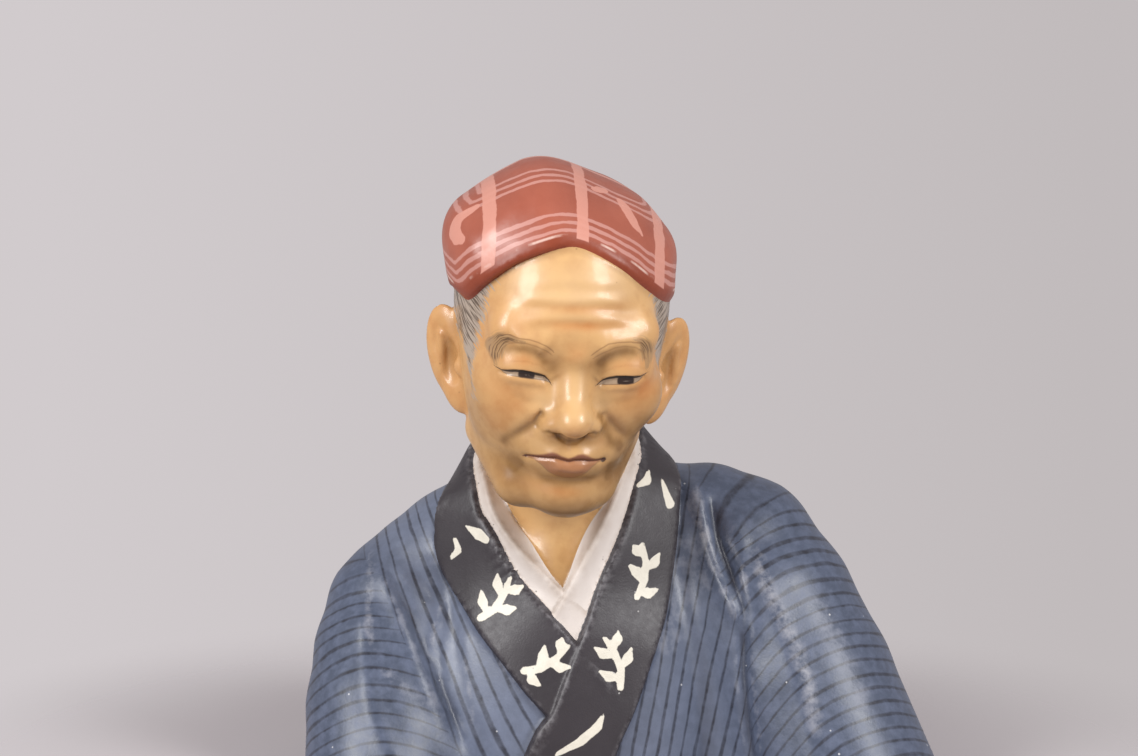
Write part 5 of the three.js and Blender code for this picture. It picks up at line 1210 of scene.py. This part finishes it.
def evened(values, edges, passes):
    """Each point's values drawn toward its neighbours'."""
    joined = np.bincount(edges.ravel(), minlength=len(values))[:, None]
    first, second = edges.T
    for _ in range(passes):
        around = [np.bincount(first, column[second], len(values))
                  + np.bincount(second, column[first], len(values)) for column in values.T]
        values = (values + np.stack(around, 1) / joined) / 2
    return values


def by_edge(p):
    """How near a point is to a collar's edge."""
    along = np.concatenate([np.concatenate([band.inner, band.middle * 2 - band.inner])
                            for band in (dark_right, dark_left, white_right, white_left)])
    found = []
    for some in np.array_split(p, 1 + len(p) // 20000):
        square = (some * some).sum(1) + ((along * along).sum(1) - 2 * some @ along.T).min(1)
        found.append(np.sqrt(np.maximum(square, 0)))
    return np.concatenate(found)


def finest(p, labels):
    """The longest edge wanted at a point."""
    q = in_head(p)
    want = np.full(len(p), FINE["plain"])
    collar = np.isin(labels, (DARK, WHITE))
    want[collar] = FINE["collar"]
    want[(labels == JACKET) & (p[:, 1] < 6)] = FINE["fold"] * 1.35
    want[(labels == CLOTH) & (q[:, 1] > -16)] = 1.0
    want[(labels == SKIN) & (q[:, 1] > 4)] = FINE["face"]
    want[(labels == SKIN) & (np.abs(q[:, 0]) > 17) & (q[:, 1] > -12)] = FINE["face"]
    want[(labels == SKIN) & (q[:, 2] < -28)] = 1.2
    flat_x = np.abs(q[:, 0] - MIDLINE)
    eyes = (flat_x > 3.5) & (flat_x < 16.5) & (np.abs(q[:, 2] - 3.2) < 2.4)
    mouth = (flat_x < 10.5) & (np.abs(q[:, 2] + 14.0) < 3.2)
    nose = (flat_x < 8) & (np.abs(q[:, 2] + 6.5) < 4)
    want[(labels == SKIN) & (q[:, 1] > 10) & (eyes | mouth | nose)] = FINE["eye"] * 1.3
    low = np.nonzero((labels != CLOTH) & (p[:, 1] < 24) & (p[:, 2] < 82))[0]
    want[low[by_edge(p[low]) < 1.2]] = FINE["edge"]
    return want


def clay_paint():
    """The unpainted underside: low-fired buff clay, dusty, with darker handling marks."""
    made, tree, shader, _, place = new_paint("bare_low_fired_clay", ())
    mist = add(tree, "TexNoise", {"Vector": place, "Scale": 1000 / 12, "Detail": 5.0}, out="Fac")
    grain = add(tree, "TexNoise", {"Vector": place, "Scale": 1000 / 0.6, "Detail": 4.0}, out="Fac")
    tone = add(tree, "Mix", {0: mist, 6: linear("#9A7658"), 7: linear("#C39F7C")}, data_type="RGBA", out=2)
    dusty = add(tree, "Bump", {"Height": grain, "Strength": 0.6, "Distance": 0.0001})
    give(shader, {"Base Color": tone, "Roughness": 0.85, "Normal": dusty})
    return made


spots, net = lay_net((-80, -62, -5), (88, 48, 140), NET)
spots = tighten(spots, 2, NET * 0.45)
for _ in range(3):
    labels = in_parts(spots, FORMS).argmin(1)
    edges, of = edges_of(net)
    ends = spots[edges]
    reach = length(ends[:, 0] - ends[:, 1])
    middle = ends.mean(1)
    want = np.minimum(finest(middle, labels[edges[:, 0]]), finest(middle, labels[edges[:, 1]]))
    border = labels[edges[:, 0]] != labels[edges[:, 1]]
    want = np.where(border, np.minimum(want, FINE["edge"] * 1.5), want)
    marked = reach > want * 1.25
    long = ~marked & (reach > 0.5) & (middle[:, 1] < 20)
    marked[long] = np.abs(cast(middle[long])) > STRAY
    if not marked.any():
        break
    old = len(spots)
    spots, net, _ = cut(spots, net, edges, of, marked, np.full(len(edges), 0.5))
    spots[old:] = tighten(spots[old:], 1, 0.3)

# cut along the colours' edges: first draw near points on to the edge, then cut what still crosses it
forms = in_parts(spots, FORMS)
labels = forms.argmin(1)
edges, of = edges_of(net)
crossing = labels[edges[:, 0]] != labels[edges[:, 1]]
pairs = edges[crossing]
first, second = labels[pairs[:, 0]], labels[pairs[:, 1]]
lead = forms[pairs[:, 0], second] - forms[pairs[:, 0], first]
behind = forms[pairs[:, 1], first] - forms[pairs[:, 1], second]
share = lead / np.maximum(lead + behind, 1e-9)
on_edge = np.zeros(len(spots), bool)
moved = spots.copy()
DRAWN_ON = 0.22       # a point is drawn on to a colour's edge from this share of a net edge away
for end, other, part in ((0, 1, share), (1, 0, 1 - share)):
    close = part < DRAWN_ON
    i, j = pairs[close, end], pairs[close, other]
    moved[i] = spots[i] + (spots[j] - spots[i]) * part[close][:, None]
    on_edge[i] = True
spots = moved
marked = crossing & ~on_edge[edges].any(1)
all_share = np.zeros(len(edges))
all_share[crossing] = share
old = len(spots)
spots, net, _ = cut(spots, net, edges, of, marked, all_share)
labels = np.concatenate([np.where(on_edge, -1, labels), np.full(len(spots) - old, -1)])
paint_of = labels[net].max(1)
loose = paint_of < 0
paint_of[loose] = in_parts(spots[net[loose]].mean(1), FORMS).argmin(1)
# the sliver of body left in the neckline's point is painted white with the collar
centre = spots[net].mean(1)
in_point = (np.abs(centre[:, 0] - 2) < 7) & (centre[:, 1] < -12) & (np.abs(centre[:, 2] - 36) < 8)
paint_of[in_point & (paint_of == JACKET)] = WHITE

# the collars' edges are drawn smooth, as a wet finger leaves them
edges, _ = edges_of(net)
by_collar = np.full(len(spots), 99.0)
low = np.nonzero((spots[:, 1] < 24) & (spots[:, 2] < 82) & (spots[:, 2] > 2))[0]
by_collar[low] = by_edge(spots[low])
spots = np.where((by_collar < 1.7)[:, None], evened(spots, edges, 3), spots)

# cut flat on the underside, and close it
spots[np.abs(spots[:, 2]) < 0.15, 2] = 0
edges, of = edges_of(net)
heights = spots[edges, 2]
marked = heights[:, 0] * heights[:, 1] < 0
share = heights[:, 0] / np.where(marked, heights[:, 0] - heights[:, 1], 1)
before = len(spots)
spots, net, source = cut(spots, net, edges, of, marked, share)
spots[before:, 2] = 0
paint_of = paint_of[source]
kept = spots[net][:, :, 2].mean(1) > 1e-9
net, paint_of = net[kept], paint_of[kept]
used, packed = np.unique(net, return_inverse=True)
spots, net = spots[used], packed.reshape(-1, 3)

body = bpy.data.meshes.new("painted_doll_bust")
body.from_pydata((spots / 1000).tolist(), [], net.tolist())
body.polygons.foreach_set("material_index", paint_of.astype(np.int32))
shape = bmesh.new()
shape.from_mesh(body)
rim_edges = [edge for edge in shape.edges if edge.is_boundary]
closing = bmesh.ops.triangle_fill(shape, use_beauty=True, use_dissolve=False, edges=rim_edges,
                                  normal=(0, 0, -1))
for part in closing["geom"]:
    if isinstance(part, bmesh.types.BMFace):
        part.material_index = BARE
        if part.normal.z > 0:
            part.normal_flip()
for edge in rim_edges:
    edge.smooth = False
for flat in shape.faces:
    flat.smooth = flat.material_index != BARE
print("faces:", len(shape.faces), "open edges:", sum(not edge.is_manifold for edge in shape.edges))
shape.to_mesh(body)
shape.free()

# light falls on the form itself, not on the net's facets: each point takes the form's own slope
fine = in_parts(spots, FORMS).argmin(1) == SKIN
slopes = np.empty_like(spots)
for those, reach in ((fine, 0.22), (~fine, 0.5)):
    some = spots[those]
    slopes[those] = np.stack([cast(some + step) - cast(some - step) for step in np.eye(3) * reach], 1)
slopes /= length(slopes)[:, None]
edges, _ = edges_of(net)
slopes = np.where(fine[:, None], slopes, evened(slopes, edges, 2))
slopes /= length(slopes)[:, None]
corners = np.empty(len(body.loops), np.int32)
body.loops.foreach_get("vertex_index", corners)
facing = slopes[corners]
facing[len(net) * 3:] = (0, 0, -1)
body.normals_split_custom_set(facing.tolist())

# each paint finds its own maps at the points that it covers
worn_and_shaded = evened(in_parts(spots, [ridges_and_hollows_at]), edges, 3)[:, 0]
layer = body.attributes.new("worn_and_shaded", "FLOAT", "POINT")
layer.data.foreach_set("value", worn_and_shaded.astype(np.float32))
for zones, maps in (((SKIN,), skin_maps), ((CLOTH,), cloth_maps), ((JACKET,), jacket_maps),
                    ((DARK, WHITE), collar_maps)):
    covered = np.unique(net[np.isin(paint_of, zones)])
    for name, values in maps(spots[covered]).items():
        spread = np.zeros(len(spots), np.float32)
        spread[covered] = values
        layer = body.attributes.new(name, "FLOAT", "POINT")
        layer.data.foreach_set("value", spread)
for paint in (skin_paint, cloth_paint, chalk_paint, collar_paint, jacket_paint, clay_paint):
    body.materials.append(paint())
bust = bpy.data.objects.new("painted_doll_bust", body)
bpy.context.scene.collection.objects.link(bust)
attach(bust, "root")
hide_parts("doll_bust")


# The place it is looked at in
# A pale paper-covered table that fades into a grey-lilac backdrop, a little darker to the right as painted
# shade, with a soft window in front on either side. Places here are in metres.
TABLE_FADES = (0.075, 0.17)      # from the middle: where the table starts to fade, and where it has gone
BACKDROP_TURN = 0.18             # how far to either side of the view the backdrop's shade goes on changing
DAYLIGHT = 0.66                  # strength of the light from all round
WINDOW_WIDE, WINDOW_HIGH = 0.2, 0.36
WINDOWS = (("window_left", (-0.48, -0.39, 0.34), 3.8), ("window_right", (0.49, -0.41, 0.42), 3.7))
LIT_POINT = Vector((0, 0, 0.08))  # what both windows face
VIEWER_AT, VIEWER_PITCH = (0.00084, -0.6155, 0.1617), 83
LENS, SENSOR = 90.4, 36          # the camera's, in mm
floor_mesh = bpy.data.meshes.new("pale_table")
floor_mesh.from_pydata([(-3, -3, 0), (3, -3, 0), (3, 3, 0), (-3, 3, 0)], [], [(0, 1, 2, 3)])
floor = bpy.data.objects.new("pale_table", floor_mesh)
bpy.context.scene.collection.objects.link(floor)
table = bpy.data.materials.new("pale_table_paper")
table.use_nodes = True
tree = table.node_tree
paper = tree.nodes["Principled BSDF"]
give(paper, {"Base Color": linear("#BDB7B9"), "Roughness": 0.9})
place = add(tree, "TexCoord", out="Object")
from_middle = add(tree, "VectorMath", {0: place}, operation="LENGTH", out="Value")
gone = add(tree, "MapRange", {0: from_middle, 1: TABLE_FADES[0], 2: TABLE_FADES[1], 3: 0.0, 4: 1.0},
           interpolation_type="SMOOTHSTEP")
clear = add(tree, "BsdfTransparent")
faded = add(tree, "MixShader", {0: gone, 1: paper.outputs[0], 2: clear})
give(tree.nodes["Material Output"], {"Surface": faded})
floor_mesh.materials.append(table)
world = bpy.data.worlds.new("pale_grey")
world.use_nodes = True
tree = world.node_tree
daylight = tree.nodes["Background"]
give(daylight, {"Color": linear("#D3CDCF"), "Strength": DAYLIGHT})
way = add(tree, "TexCoord", out="Generated")
to_side = add(tree, "SeparateXYZ", {0: way}, out="X")
to_side = add(tree, "MapRange", {0: to_side, 1: -BACKDROP_TURN, 2: BACKDROP_TURN, 3: 0.0, 4: 1.0})
shade = add(tree, "Mix", {0: to_side, 6: linear("#D1CBCD"), 7: linear("#C1BBBC")}, data_type="RGBA", out=2)
behind = add(tree, "Background", {"Color": shade})
seen = add(tree, "LightPath", out="Is Camera Ray")
both = add(tree, "MixShader", {0: seen, 1: daylight.outputs[0], 2: behind})
give(tree.nodes["World Output"], {"Surface": both})
bpy.context.scene.world = world
bpy.context.scene.view_settings.view_transform = "Standard"
for name, spot, power in WINDOWS:
    light = bpy.data.lights.new(name, "AREA")
    light.shape = "RECTANGLE"
    light.size = WINDOW_WIDE
    light.size_y = WINDOW_HIGH
    light.energy = power
    lamp = bpy.data.objects.new(name, light)
    lamp.location = spot
    lamp.rotation_euler = (Vector(spot) - LIT_POINT).to_track_quat("Z", "Y").to_euler()
    bpy.context.scene.collection.objects.link(lamp)
camera = bpy.data.cameras.new("photo_camera")
camera.sensor_width = SENSOR
camera.lens = LENS
viewer = bpy.data.objects.new("photo_camera", camera)
viewer.location = VIEWER_AT
viewer.rotation_euler = (math.radians(VIEWER_PITCH), 0, 0)
bpy.context.scene.collection.objects.link(viewer)
bpy.context.scene.camera = viewer
